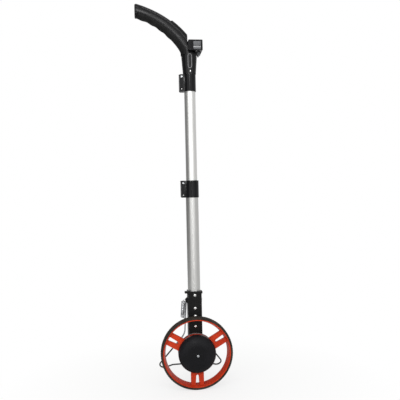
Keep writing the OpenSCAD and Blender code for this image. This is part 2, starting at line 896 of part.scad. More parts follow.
// Point of the cavity, narrow in the neck and one wall inside the skin in the grip
function cavity_point(t, turn) =
    let (thick = lookup(t, [[socket_depth, half_depth(t) - 6], [socket_depth + 12, shell_t + skin_t]]))
    skin_point(t, turn, -max(thick, shell_t + skin_t));

shell_steps = 12;
shell_at = concat(
    [0, bend_at / 2, bend_at],
    [for (i = [1:5]) bend_at + bend_l * i / 5],
    [skin_from - skin_step],
    [for (i = [0:9]) skin_from + (skin_to - skin_from) * i / 9],
    [skin_to + skin_step, grip_end, grip_past]
);

// Triangles that close the end of a ring made of an outer row and an inner row back again
function strip_caps(n) = [
    for (j = [0:n - 1])
        for (f = [[j, j + 1, 2 * n - j], [j, 2 * n - j, 2 * n + 1 - j]]) f
];

function shell_ring(t, from) = concat(
    [for (j = [0:shell_steps])
        let (turn = from + 180 * j / shell_steps)
        skin_point(t, turn, sin(turn) < -0.2 ? -skin_inset(t) : 0)],
    [for (j = [shell_steps:-1:0]) cavity_point(t, from + 180 * j / shell_steps)]
);

// The pod's seat in the handle, open upwards so that nothing stands over the keys
module pod_space(gap) {
    block(pod_x0 - gap, pod_x1 + over, mast_y - pod_w, mast_y + pod_w, pod_z0 - gap, pod_z1 + pod_h);
}

shell_screws = [0.2, 0.5, 0.82];

module shell_screw_places() {
    for (share = shell_screws) {
        p = path_point(grip_at + share * grip_l);
        translate([p[0], mast_y, p[1]]) children();
    }
}

// One half of the handle, from the underside's seam or from the top's seam
module shell_half(from) {
    side = from < 0 ? -1 : 1;
    boss_end = grip_w / 2 - shell_t / 2;
    difference() {
        union() {
            stacked([for (t = shell_at) shell_ring(t, from)], strip_caps(shell_steps));
            shell_screw_places()
                rod_y(3.6, side < 0 ? -boss_end : 0, side < 0 ? 0 : boss_end, 0, 0);
        }
        rod_z(inner_od / 2 + fit, neck_z - over, inner_z1, 0, mast_y);
        rod_z(lead_r + clear, inner_z1 - over, lead_top_z + 4, lead_top_x, lead_top_y);
        pod_space(fit);
        block(trigger_pocket_x, neck_top_d, mast_y - trigger_w / 2 - clear, mast_y + trigger_w / 2 + clear,
            pod_z0 - trigger_drop - 1.4, pod_z0);
        block(-2 * grip_l, path_point(grip_end)[0], mast_y - grip_w, mast_y + grip_w, neck_z, 2 * neck_z);
        shell_screw_places()
            rod_y(1.5 + fit, -9, 9, 0, 0);
    }
}

module handle_near() {
    color("#1c1c1d") shell_half(-90);
}

module handle_far() {
    color("#1c1c1d")
        difference() {
            shell_half(90);
            shell_screw_places()
                rod_y(3.2, 7, grip_w, 0, 0);
        }
}

module handle_screws() {
    color("silver")
        shell_screw_places() {
            rod_y(1.5, -8.6, 7, 0, 0);
            rod_y(2.9, 7, 9.2, 0, 0);
        }
}

function patch_ring(t, from, to, steps, inner, outer) = concat(
    [for (j = [0:steps]) skin_point(t, from + (to - from) * j / steps, outer)],
    [for (j = [steps:-1:0]) skin_point(t, from + (to - from) * j / steps, inner)]
);

skin_gap = 0.2;
finger_steps = 60;
finger_count = 4;
finger_start = 0.35;

module finger_grip() {
    around = 12;
    from = skin_from + fit;
    to = skin_to - fit;
    color("#262627")
        stacked(
            [for (i = [0:finger_steps])
                let (t = from + (to - from) * i / finger_steps)
                let (share = max(0, i / finger_steps - finger_start) / (1 - finger_start))
                let (wave = (1 - cos(360 * finger_count * share)) / 2)
                patch_ring(t, -158, -22, around, skin_gap - skin_t, finger_wave * wave)],
            strip_caps(around)
        );
}

module thumb_pad() {
    steps = 10;
    around = 8;
    color("#262627")
        difference() {
            stacked(
                [for (i = [0:steps])
                    let (t = pad_from + (pad_to - pad_from) * i / steps)
                    let (rise = min(1, 0.3 + 4 * min(i, steps - i) / steps))
                    patch_ring(t, 42, 138, around, fit, pad_t * rise)],
                strip_caps(around)
            );
            pod_space(fit);
        }
}

module grip_end_cap() {
    p = path_point(grip_end);
    tall = half_depth(grip_end) / sin(path_turn(grip_end));
    color("#131313")
        translate([0, mast_y, p[1]]) {
            plate(p[0] - end_cap_t, p[0])
                polygon([for (a = [0:6:354]) [(grip_w / 2) * squared(cos(a)), tall * squared(sin(a))]]);
            rod_x(8, p[0] - over, p[0] + 7, 0, 0);
        }
}

// Display pod

module pod_places() {
    for (i = [-1:1])
        translate([button_x, mast_y + i * button_pitch, 0]) children();
}

module display_housing() {
    trigger_half = trigger_w / 2 + clear;
    color("#1e1e1f")
        difference() {
            union() {
                difference() {
                    slab(mast_y - pod_w / 2, mast_y + pod_w / 2)
                        round_rect(pod_x0, pod_z0, pod_x1, pod_lid, 1);
                    block(pod_x0 + pod_wall, pod_x1 - pod_wall, mast_y - pod_in, mast_y + pod_in,
                        pod_z0 + pod_wall, pod_z1);
                }
                for (s = [-1, 1])
                    block(trigger_pin_x - 3, trigger_pin_x + 3, mast_y + s * (trigger_half + 1.2) - 1.2,
                        mast_y + s * (trigger_half + 1.2) + 1.2, pod_z0 + 1, trigger_pin_z + 3);
                for (x = [pod_x0 + pod_wall / 2, pod_x1 - pod_wall - 1])
                    for (y = [mast_y - pod_in - 1, mast_y + pod_in - 2])
                        block(x, x + 2, y, y + 3, pod_z0 + pod_wall, board_z);
                for (z = [pod_z0, door_z1])
                    block(pod_x0, door_x1, pod_far - over, pod_far + door_t + fit, z, z + door_rail);
            }
            block(pod_x0 + pod_wall + 0.2, door_x1 - 0.6, mast_y + pod_in - over, mast_y + pod_w,
                pod_z0 + 1.6, cell_z + cell_r + 0.6);
            block(trigger_pocket_x, pod_x1 - 0.8, mast_y - trigger_half, mast_y + trigger_half,
                pod_z0 - over, trigger_pin_z + trigger_hub_r + clear);
            rod_y(trigger_pin_r + fit, mast_y - pod_in, mast_y + pod_in, trigger_pin_x, trigger_pin_z);
            rod_x(lead_r + fit, pod_x0 - over, pod_x0 + pod_wall + over, lead_top_y, lead_top_z);
        }
}

module display_bezel() {
    color("#161617")
        difference() {
            slab(mast_y - pod_w / 2, mast_y + pod_w / 2)
                polygon([
                    [pod_x0, pod_lid], [pod_x1, pod_lid], [pod_x1, pod_z1 - 1], [pod_x1 - 1, pod_z1],
                    for (a = [90:15:180]) [pod_x0 + 2.2 + 2.2 * cos(a), pod_z1 - 2.2 + 2.2 * sin(a)]
                ]);
            block(lcd_x0 + ledge, lcd_x1 - ledge, mast_y - lcd_half + ledge, mast_y + lcd_half - ledge,
                pod_lid - over, pod_z1 + over);
            block(lcd_x0, lcd_x1, mast_y - lcd_half, mast_y + lcd_half, pod_z1 - bezel_t / 2, pod_z1 + over);
            pod_places()
                translate([0, 0, pod_lid - over])
                    cylinder(d = button_d + 2 * clear, h = bezel_t + 2 * over);
        }
}

module lcd_lens() {
    color("#9fb0a8", 0.5)
        block(lcd_x0 + fit, lcd_x1 - fit, mast_y - lcd_half + fit, mast_y + lcd_half - fit,
            pod_z1 - bezel_t / 2, pod_z1 - 0.2);
}

module lcd_module() {
    color("#7d8a78")
        block(lcd_x0, lcd_x1, mast_y - lcd_half - 1, mast_y + lcd_half + 1, board_z + board_t, pod_lid);
}

module main_board() {
    color("darkgreen")
        block(pod_x0 + pod_wall + fit, pod_x1 - pod_wall - fit, mast_y - pod_in + fit, mast_y + pod_in - fit,
            board_z, board_z + board_t);
}

module button(i) {
    flange_top = pod_lid - 0.3;
    color("#3a3a3c")
        translate([button_x, mast_y + i * button_pitch, 0]) {
            rod_z(button_d / 2, flange_top - 1, pod_z1 + button_travel, 0, 0);
            rod_z(button_d / 2 + key_flange, flange_top - 1.2, flange_top, 0, 0);
        }
}

module button_left() { button(-1); }

module button_middle() { button(0); }

module button_right() { button(1); }

module batteries() {
    color("#8a7a3a")
        for (i = [0, 1])
            rod_y(cell_r, mast_y - cell_l / 2, mast_y + cell_l / 2, cell_x[i], cell_z);
}

module battery_contacts() {
    color("silver")
        for (s = [-1, 1])
            for (x = cell_x)
                block(x - 3.6, x + 3.6, s < 0 ? mast_y - pod_in : mast_y + cell_l / 2,
                    s < 0 ? mast_y - cell_l / 2 : mast_y + pod_in, cell_z - 4, cell_z + 4);
}

module battery_door() {
    y0 = pod_far + fit;
    groove = 0.8;
    color("#202021")
        difference() {
            block(pod_x0, door_x1, y0, y0 + door_t, pod_z0 + door_rail + fit, door_z1 - fit);
            for (x = [door_x1 - 6:2 * groove:door_x1 - 2])
                block(x, x + groove, y0 + door_t - 0.5, y0 + door_t + over, pod_z0 + 3, door_z1 - 2);
        }
}

module side_label() {
    y0 = mast_y - pod_w / 2;
    color("#8d8f92")
        block(lcd_x0 - 0.6, pod_x1 - 4.2, y0 - 0.4, y0, pod_z0 + 2, pod_lid - 0.6);
}

module trigger() {
    color("#9a9c9f")
        translate([trigger_pin_x, mast_y, trigger_pin_z])
            difference() {
                slab(-trigger_w / 2, trigger_w / 2) {
                    circle(r = trigger_hub_r);
                    polygon([
                        [-trigger_hub_r, 0], [trigger_back - trigger_pin_x, -5.5],
                        [trigger_back - trigger_pin_x + 1.6, -trigger_drop], [-4, -trigger_drop - 2.6],
                        [-2.7, -trigger_drop - 3.2], [-1.3, -trigger_drop - 2.9], [-0.1, -trigger_drop - 1.6],
                        [1.4, -7], [2.4, -4.4], [trigger_hub_r, 0]
                    ]);
                }
                rod_y(trigger_pin_r + slide_fit, -trigger_w, trigger_w, 0, 0);
                rod_y(trigger_hub_r - 0.2, -3.4, 3.4, 0, 0);
            }
}

module trigger_pin() {
    half = trigger_w / 2 + clear + 2.4;
    color("silver")
        rod_y(trigger_pin_r, mast_y - half, mast_y + half, trigger_pin_x, trigger_pin_z);
}

module trigger_spring() {
    color("silver")
        difference() {
            rod_y(trigger_pin_r + 0.9, mast_y - 3, mast_y + 3, trigger_pin_x, trigger_pin_z);
            rod_y(trigger_pin_r + fit, mast_y - 4, mast_y + 4, trigger_pin_x, trigger_pin_z);
        }
}

// Stand: a bent wire that leans back from the bracket

// Point of the stand from its distance across and its distance along the legs
function stand_point(p) = [p[0], pivot_y + p[1] * sin(stand_lean), pivot_z - p[1] * cos(stand_lean)];

// Points of an arc from one turn to another
function arc(c, r, from, to, steps) = [
    for (i = [0:steps]) c + r * [cos(from + (to - from) * i / steps), sin(from + (to - from) * i / steps)]
];

// Turn at which a line from a point touches a circle, on the side that s gives
function touch_turn(p, c, r, s) =
    atan2(p[1] - c[1], p[0] - c[0]) + s * acos(r / norm(p - c));

knee = [leg_x, knee_at];
foot_mid = [feet_w / 2 - wire_r - foot_r, leg_l - foot_r];
cross_mid = [0, leg_l - cross_rise];
flare_turn = touch_turn(knee, foot_mid, foot_r, 1);
cross_turn = touch_turn(cross_mid, foot_mid, foot_r, -1);
stand_half = concat(
    arc([pivot_out, pivot_bend], pivot_bend, -90, 0, 5),
    [[leg_x, knee_at - 14], [leg_x + 0.4, knee_at - 5], [leg_x + 2.6, knee_at + 5], knee + 16 * unit(
        foot_mid + foot_r * [cos(flare_turn), sin(flare_turn)] - knee)],
    arc(foot_mid, foot_r, flare_turn, cross_turn < flare_turn ? cross_turn + 360 : cross_turn, 9)
);
stand_path = concat(
    [for (p = stand_half) stand_point(p)],
    [stand_point(cross_mid)],
    [for (i = [len(stand_half) - 1:-1:0]) stand_point([-stand_half[i][0], stand_half[i][1]])]
);

module stand_wire() {
    normal = [0, cos(stand_lean), sin(stand_lean)];
    sides = 10;
    color("#6b6d70") {
        stacked(wire_rings(stand_path, wire_r, sides, function(i) normal), fan(sides));
        rod_x(wire_r, pivot_in, pivot_out + clear, pivot_y, pivot_z);
        rod_x(wire_r, -pivot_out - clear, -pivot_in, pivot_y, pivot_z);
    }
}

// Tension spring: straight ends, short necks on the axis and a helix between
spring_side = cross([1, 0, 0], spring_dir);
coil_l = spring_l - 2 * spring_end;
function on_axis(d) = anchor + [spring_x, 0, 0] + d * spring_dir;
function on_coil(turn, d) = on_axis(d) + spring_r * (cos(turn) * [1, 0, 0] + sin(turn) * spring_side);
curl_steps = 8;
coil_points = spring_turns * curl_steps;
spring_path = concat(
    [[lug_x + 4, anchor[1], anchor[2]], [lug_x, anchor[1], anchor[2]], on_axis(0) + [1.2, 0, 0]],
    [on_axis(1.2), on_axis(spring_end - 3)],
    [for (i = [0:coil_points]) on_coil(360 * i / curl_steps, spring_end + coil_l * i / coil_points)],
    [on_axis(spring_l - spring_end + 3), on_axis(spring_l - 1.2)],
    [on_axis(spring_l) + [1.2, 0, 0], [-leg_x - wire_r - 0.3, spring_hook[1], spring_hook[2]]]
);
near_points = curl_steps / 2 + 1;
spring_gap = min([
    for (i = [0:len(spring_path) - 1 - near_points])
        for (j = [i + near_points:min(i + 3 * curl_steps, len(spring_path) - 1)])
            norm(spring_path[i] - spring_path[j])
]) - spring_wire_d;
echo(str("stand spring: least gap to itself ", spring_gap, " mm"));

module stand_spring() {
    sides = 6;
    color("#9a9da0")
        stacked(wire_rings(spring_path, spring_wire_d / 2, sides, function(i) spring_lean(i)), fan(sides));
}

// The ends of the spring lie across its axis, the rest along it
function spring_lean(i) =
    i < 3 || i > len(spring_path) - 3 ? spring_dir + 0.3 * spring_side : spring_dir + 0.01 * [1, 0, 0];

tyre();
wheel_body();
hub_cover();
hub_cover_screws();
front_bearing();
rear_bearing();
magnet_ring();
bracket_front();
bracket_rear();
bracket_screws();
bracket_nuts();
axle();
axle_nuts();
bearing_spacer();
hub_shield();
shield_screws();
sensor_board();
sensor_lead();
lower_tube();
middle_collar();
middle_clamp_pin();
middle_clamp_screw();
middle_lever();
middle_tube();
middle_bush();
top_collar();
top_clamp_pin();
top_clamp_screw();
top_lever();
inner_tube();
inner_bush();
handle_near();
handle_far();
handle_screws();
finger_grip();
thumb_pad();
grip_end_cap();
display_housing();
display_bezel();
lcd_lens();
lcd_module();
main_board();
button_left();
button_middle();
button_right();
batteries();
battery_contacts();
battery_door();
side_label();
trigger();
trigger_pin();
trigger_spring();
stand_wire();
stand_spring();
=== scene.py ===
# %% [markdown]
# # A digital measuring wheel, dressed for the studio
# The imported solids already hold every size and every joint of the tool. This file gives them
# their looks: finishes for the pieces whose solid is right as it is, and smooth surfaces, worked
# out with numpy, for the pieces whose solid is only a plain form.
# The frame comes first, because each piece is placed by what it measures there.

# %% Load the frame
import json
import math

import bmesh
import bpy
import numpy as np

from mathutils import Matrix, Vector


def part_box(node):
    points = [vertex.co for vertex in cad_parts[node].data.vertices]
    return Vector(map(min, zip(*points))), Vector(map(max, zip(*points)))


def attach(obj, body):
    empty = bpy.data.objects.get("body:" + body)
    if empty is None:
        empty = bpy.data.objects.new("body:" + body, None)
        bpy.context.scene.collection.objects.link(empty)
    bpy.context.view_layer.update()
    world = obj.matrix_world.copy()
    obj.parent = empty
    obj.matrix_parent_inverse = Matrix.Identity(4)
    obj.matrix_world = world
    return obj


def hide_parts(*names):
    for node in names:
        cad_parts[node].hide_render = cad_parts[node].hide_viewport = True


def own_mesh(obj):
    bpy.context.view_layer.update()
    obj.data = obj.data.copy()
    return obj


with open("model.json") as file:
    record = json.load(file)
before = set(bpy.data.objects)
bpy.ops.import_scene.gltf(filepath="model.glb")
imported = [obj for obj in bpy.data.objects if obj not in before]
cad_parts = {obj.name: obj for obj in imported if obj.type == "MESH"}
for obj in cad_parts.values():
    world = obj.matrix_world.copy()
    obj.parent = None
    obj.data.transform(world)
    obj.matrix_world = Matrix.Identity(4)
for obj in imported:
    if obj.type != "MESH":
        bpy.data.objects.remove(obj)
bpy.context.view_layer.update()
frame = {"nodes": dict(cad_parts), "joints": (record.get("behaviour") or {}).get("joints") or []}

# %% [markdown]
# ## Camera
# The tool is seen from about its middle height, a little from the left, with a normal lens.
# A camera can be aimed with a constraint, but its axes are worked out here, so that the small
# roll of the picture is one number beside the others.

# %% Camera
image_px, focal_px, sensor_mm = 400, 540.8, 36
camera_bearing = -6.109
camera_distance = 1.1884
camera_height = 0.4318
camera_yaw = math.radians(-6.79)
camera_pitch = math.radians(0.742)
camera_roll = math.radians(-1.238)


def camera_axes(yaw, pitch, roll):
    """Right, up and backward axes of a camera that looks along +Y, turned by yaw, tipped down by
    pitch and then rolled about its own line of sight."""
    level_part = math.cos(pitch)
    ahead = np.array([-math.sin(yaw) * level_part, math.cos(yaw) * level_part, -math.sin(pitch)])
    level = np.cross(ahead, [0, 0, 1])
    level /= np.linalg.norm(level)
    upright = np.cross(level, ahead)
    right = level * math.cos(roll) + upright * math.sin(roll)
    up = upright * math.cos(roll) - level * math.sin(roll)
    return right, up, -ahead


def round_the_tool(degrees, far, z):
    """A place at that bearing round the tool: 0 is straight in front, and plus is to the right."""
    bearing = math.radians(degrees)
    return np.array([far * math.sin(bearing), -far * math.cos(bearing), z])


def stood_at(place, axes):
    """The matrix of an object at a place, whose own X, Y and Z run along the three axes."""
    matrix = np.eye(4)
    matrix[:3, :3] = np.stack(axes, 1)
    matrix[:3, 3] = place
    return Matrix(matrix.tolist())


def into_scene(name, data):
    """A new object that holds the data, linked into the scene."""
    thing = bpy.data.objects.new(name, data)
    bpy.context.scene.collection.objects.link(thing)
    return thing


camera_data = bpy.data.cameras.new("camera")
camera_data.sensor_width = sensor_mm
camera_data.lens = sensor_mm * focal_px / image_px
camera = into_scene("camera", camera_data)
camera_place = round_the_tool(camera_bearing, camera_distance, camera_height)
camera.matrix_world = stood_at(camera_place, camera_axes(camera_yaw, camera_pitch, camera_roll))
bpy.context.scene.camera = camera
print("camera lens", round(camera_data.lens, 1), "mm at", np.round(camera_place, 3))

# %% [markdown]
# ## Building finishes
# A finish is a small tree of shader nodes. Adding each node by hand takes many lines, so one helper
# makes a node, sets its properties, and fills its inputs with values or with links.
# All patterns read Object coordinates: every object sits at the origin, so these are metres.

# %% Finish helpers
def fill(tree, node, sockets):
    """Links each input that is given another node's output, and sets the others to their values."""
    for key, value in sockets.items():
        if isinstance(value, bpy.types.NodeSocket):
            tree.links.new(value, node.inputs[key])
        else:
            node.inputs[key].default_value = value


def add_node(tree, kind, sockets=None, **settings):
    """One shader node: settings are its own properties, sockets its inputs as values or links."""
    node = tree.nodes.new(kind)
    for key, value in settings.items():
        setattr(node, key, value)
    fill(tree, node, sockets or {})
    return node


def shade(red, green, blue):
    """A colour written as it looks on a screen, 0 to 255, as the linear values that shaders use."""
    screen = np.array([red, green, blue]) / 255
    linear = np.where(screen <= 0.04045, screen / 12.92, ((screen + 0.055) / 1.055) ** 2.4)
    return (*linear.tolist(), 1.0)


def start_finish(name):
    """A new material, its tree of nodes, and the shader that is already in it."""
    material = bpy.data.materials.new(name)
    material.use_nodes = True
    return material, material.node_tree, material.node_tree.nodes["Principled BSDF"]


def place_of(tree, stretch=(1, 1, 1)):
    """Object coordinates in metres, each axis multiplied by stretch."""
    spot = add_node(tree, "ShaderNodeTexCoord").outputs["Object"]
    return add_node(tree, "ShaderNodeMapping", {"Vector": spot, "Scale": stretch}).outputs["Vector"]


def height_of(tree):
    """Height above the floor in metres."""
    return add_node(tree, "ShaderNodeSeparateXYZ", {"Vector": place_of(tree)}).outputs["Z"]


def cloud(tree, scale, detail=4, stretch=(1, 1, 1)):
    """Noise with about scale lumps to the metre."""
    sockets = {"Vector": place_of(tree, stretch), "Scale": scale, "Detail": detail}
    return add_node(tree, "ShaderNodeTexNoise", sockets).outputs["Fac"]


def spread(tree, value, low, high, start=0.3, stop=0.7):
    """Carries start..stop of a pattern over to low..high."""
    sockets = {"Value": value, "From Min": start, "From Max": stop, "To Min": low, "To Max": high}
    return add_node(tree, "ShaderNodeMapRange", sockets).outputs["Result"]


def tones(tree, value, stops, interpolation="LINEAR"):
    """Colours along a pattern, as pairs of place and colour."""
    node = add_node(tree, "ShaderNodeValToRGB", {"Fac": value})
    ramp = node.color_ramp
    ramp.interpolation = interpolation
    while len(ramp.elements) < len(stops):
        ramp.elements.new(0.5)
    for element, (place, colour) in zip(ramp.elements, stops):
        element.position = place
        element.color = colour
    return node.outputs["Color"]


def relief(tree, height, depth, under=None):
    """Bump of that depth in metres, on top of another bump if one is given."""
    sockets = {"Height": height, "Distance": depth}
    if under is not None:
        sockets["Normal"] = under
    return add_node(tree, "ShaderNodeBump", sockets).outputs["Normal"]


def plug(tree, shader, **inputs):
    """Fills the shader's inputs; names are written with _ for a blank."""
    fill(tree, shader, {key.replace("_", " "): value for key, value in inputs.items()})


print("finish helpers ready")

# %% [markdown]
# ## Moulded plastics
# Black housings, the red wheel and the small grey tab are all injection moulded. Seen close, such
# a surface has the fine grain of the mould, clouds of slightly different tone, and handling marks
# that change its gloss. An image could show this, but it would need a map on every piece, and
# noise in metres needs none. One recipe covers all, with tone, gloss and grain as its values.

# %% Moulded finishes
rub_scale, rub_stretch = 70, (1, 1, 0.3)
gloss_under, gloss_over = 0.06, 0.08


def moulded(name, dark, light, rough, grain, depth, specular, weave=16):
    """Plastic: a broad cloud mixes two tones, long faint rubs vary the gloss, fine grain is bump."""
    material, tree, shader = start_finish(name)
    tone = tones(tree, cloud(tree, weave, 5), [(0.36, dark), (0.64, light)])
    rubs = cloud(tree, rub_scale, 6, rub_stretch)
    plug(
        tree, shader, Base_Color=tone, Specular_IOR_Level=specular,
        Roughness=spread(tree, rubs, rough - gloss_under, rough + gloss_over),
        Normal=relief(tree, cloud(tree, grain, 2), depth),
    )
    return material


# Each row: dark and light tone, roughness, lumps of grain to the metre and their depth, specular.
gloss_black = moulded("gloss_black", shade(9, 9, 10), shade(15, 15, 17), 0.14, 900, 2e-6, 0.13)
satin_black = moulded("satin_black", shade(9, 9, 10), shade(15, 15, 17), 0.25, 2400, 4e-6, 0.16)
pod_black = moulded("pod_black", shade(10, 10, 11), shade(16, 16, 18), 0.27, 2400, 4e-6, 0.09)
bracket_black = moulded("bracket_black", shade(15, 15, 15), shade(23, 22, 21), 0.44, 1900, 2e-5, 0.08)
cover_black = moulded("cover_black", shade(16, 16, 18), shade(25, 25, 28), 0.40, 2200, 1.2e-5, 0.08)
wheel_red = moulded("wheel_red", shade(164, 43, 18), shade(184, 55, 26), 0.38, 1500, 8e-6, 0.10)
tab_grey = moulded("tab_grey", shade(74, 76, 78), shade(96, 98, 100), 0.34, 1500, 6e-6, 0.2)
shield_grey = moulded("shield_grey", shade(92, 92, 92), shade(112, 111, 110), 0.4, 1800, 2.5e-5, 0.25)
key_black = moulded("key_black", shade(38, 38, 40), shade(52, 52, 55), 0.55, 2600, 3e-5, 0.3)
print("moulded finishes:", [m.name for m in bpy.data.materials if m.users == 0])

# %% [markdown]
# ## Rubber
# The tyre is plain rubber that picks up dust, so it is brownish and dull. The skins of the handle
# are a softer, darker rubber with a pattern of small pips against slipping. Modelled pips would be
# many thousand faces, so the cells of a Voronoi pattern raise them as bump.

# %% Rubber finishes
dust_scale, pore_scale, wear_scale = 45, 3200, 160


def rubber(name, dark, light, rough, pips, pip_depth):
    """Rubber: dust in broad clouds, fine pores, and round pips from the cells of a Voronoi pattern."""
    material, tree, shader = start_finish(name)
    tone = tones(tree, cloud(tree, dust_scale, 6), [(0.35, dark), (0.7, light)])
    cells = add_node(tree, "ShaderNodeTexVoronoi", {"Vector": place_of(tree), "Scale": pips})
    domes = spread(tree, cells.outputs["Distance"], 1, 0, 0.1, 0.6)
    pores = relief(tree, cloud(tree, pore_scale, 2), 3e-5)
    plug(
        tree, shader, Base_Color=tone, Specular_IOR_Level=0.12,
        Roughness=spread(tree, cloud(tree, wear_scale), rough - 0.08, rough + 0.06),
        Normal=relief(tree, domes, pip_depth, pores),
    )
    return material


# Each row: dark and light tone, roughness, pips to the metre and their depth.
tyre_rubber = rubber("tyre_rubber", shade(36, 32, 28), shade(56, 50, 44), 0.78, 700, 4e-5)
grip_rubber = rubber("grip_rubber", shade(18, 18, 18), shade(27, 27, 27), 0.66, 520, 2.2e-4)
print("rubber finishes:", tyre_rubber.name, grip_rubber.name)

# %% [markdown]
# ## Metals
# The tubes are drawn aluminium, with fine lines along them. An anisotropic shader would only stretch
# the highlights, so noise that is stretched along Z draws the lines themselves. Screws are bright
# plated steel and the springs a little darker. Axle and contacts are zinc grey. The stand's wire is
# darker near the ground: a painted shade for the dark things that its low part mirrors.

# %% Metal finishes
drawn_lines = (900, (1, 1, 0.01), 3e-7, 0.03)
# Heights in metres over which the stand's wire goes from painted shade near the ground to its full tone.
even, smear_scale, ground_shade_span = (1, 1, 1), 30, (0.06, 0.105)


def metal(name, dark, light, rough, scale, stretch, depth, sway=0.06, low_shade_span=None):
    """Bare metal: stretched noise gives the drawn lines, which vary tone, gloss and relief.
    Between two heights the tone goes from a painted shade, for dark things mirrored low down, to its own."""
    material, tree, shader = start_finish(name)
    lines = cloud(tree, scale, 5, stretch)
    tone = tones(tree, lines, [(0.32, dark), (0.68, light)])
    if low_shade_span:
        # Painted shade: low down the tone is multiplied by a darker grey, for the dark things the wire
        # mirrors there.
        unshaded_share = spread(tree, height_of(tree), 0, 1, *low_shade_span)
        painted_shade = tones(tree, unshaded_share, [(0, shade(104, 104, 104)), (1, shade(255, 255, 255))])
        sockets = {"Fac": 1.0, "Color1": tone, "Color2": painted_shade}
        tone = add_node(tree, "ShaderNodeMixRGB", sockets, blend_type="MULTIPLY").outputs["Color"]
    smears = cloud(tree, smear_scale, 5)
    plug(
        tree, shader, Base_Color=tone, Metallic=1.0,
        Roughness=spread(tree, smears, rough - sway, rough + sway), Normal=relief(tree, lines, depth),
    )
    return material


# Each row: dark and light tone, roughness, lines to the metre, their stretch and depth, its sway.
drawn_aluminium = metal("drawn_aluminium", shade(190, 190, 188), shade(199, 199, 197), 0.38, *drawn_lines)
# The lower tube takes the same aluminium, a shade darker and a little rougher.
dull_aluminium = metal("dull_aluminium", shade(172, 172, 170), shade(181, 181, 179), 0.40, *drawn_lines)
bright_plate = metal("bright_plate", shade(196, 196, 194), shade(222, 222, 220), 0.22, 500, even, 8e-6)
spring_bright = metal("spring_bright", shade(146, 148, 150), shade(182, 184, 186), 0.20, 600, even, 8e-6)
spring_zinc = metal("spring_zinc", shade(138, 140, 142), shade(168, 170, 172), 0.34, 600, even, 8e-6)
# The stand's wire carries painted shade near the ground.
stand_steel = metal(
    "stand_steel", shade(150, 152, 154), shade(176, 178, 180), 0.36, 420, even, 1e-5, low_shade_span=ground_shade_span,
)
magnet_ferrite = metal("magnet_ferrite", shade(42, 42, 44), shade(62, 62, 65), 0.55, 700, even, 2e-5)
print("metal finishes:", drawn_aluminium.name, bright_plate.name, spring_zinc.name, stand_steel.name)

# %% [markdown]
# ## Small finishes of the display pod
# The label on the pod's side is a grey film with plain bands and no words. Its bands could be faces
# of their own, but a film is flat, so the height alone picks the grey. Inside sit a green board with
# its copper tracks, two wrapped cells, and a display behind a clear lens.

# %% Pod finishes
label_low, label_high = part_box("side_label")
tracks_per_metre = 240


def label_film():
    """Bands up the label: the height over the label's own height picks one of a few greys."""
    material, tree, shader = start_finish("label_film")
    share = spread(tree, height_of(tree), 0, 1, label_low.z, label_high.z)
    bands = tones(
        tree, share,
        [
            (0.0, shade(80, 81, 83)), (0.22, shade(140, 141, 142)), (0.40, shade(40, 40, 42)),
            (0.52, shade(92, 93, 95)), (0.72, shade(70, 71, 73)), (0.78, shade(97, 98, 100)),
        ],
        "CONSTANT",
    )
    plug(
        tree, shader, Base_Color=bands, Specular_IOR_Level=0.15,
        Roughness=spread(tree, cloud(tree, 300), 0.28, 0.42),
        Normal=relief(tree, cloud(tree, 1500, 2), 3e-6),
    )
    return material


def board_green():
    """Solder mask with tracks: the edges of square cells show as lighter lines."""
    material, tree, shader = start_finish("board_green")
    sockets = {"Vector": place_of(tree), "Scale": tracks_per_metre}
    cells = add_node(tree, "ShaderNodeTexVoronoi", sockets, distance="CHEBYCHEV", feature="F1")
    tone = tones(
        tree, cells.outputs["Distance"],
        [
            (0.0, shade(168, 132, 62)), (0.12, shade(14, 70, 34)),
            (0.42, shade(18, 84, 42)), (0.5, shade(40, 116, 62)),
        ],
    )
    plug(
        tree, shader, Base_Color=tone, Roughness=spread(tree, cloud(tree, 200), 0.3, 0.45),
        Normal=relief(tree, cells.outputs["Distance"], 4e-5),
    )
    return material


def lens_clear():
    """Clear plastic: light goes through it, and faint smears vary its gloss."""
    material, tree, shader = start_finish("lens_clear")
    plug(
        tree, shader, Base_Color=(0.95, 0.97, 0.96, 1), IOR=1.49, Transmission_Weight=1.0,
        Roughness=spread(tree, cloud(tree, 120), 0.02, 0.07),
    )
    return material


lcd_panel = moulded("lcd_panel", shade(126, 138, 122), shade(140, 151, 134), 0.3, 2600, 1e-5, 0.4)
cell_wrap = moulded("cell_wrap", shade(30, 58, 96), shade(48, 84, 130), 0.3, 900, 1.5e-5, 0.5, 60)
lead_jacket = moulded("lead_jacket", shade(24, 24, 25), shade(36, 36, 37), 0.5, 1800, 2e-5, 0.3)
label_grey, circuit_board, clear_lens = label_film(), board_green(), lens_clear()
print("pod finishes:", label_grey.name, circuit_board.name, clear_lens.name)

# %% [markdown]
# ## Finishes on the solids
# A solid whose shape is right keeps its mesh and only takes a finish, which a copy of it keeps too.
# The finishes could be set piece by piece, but one table shows at a glance which nodes wear the same.

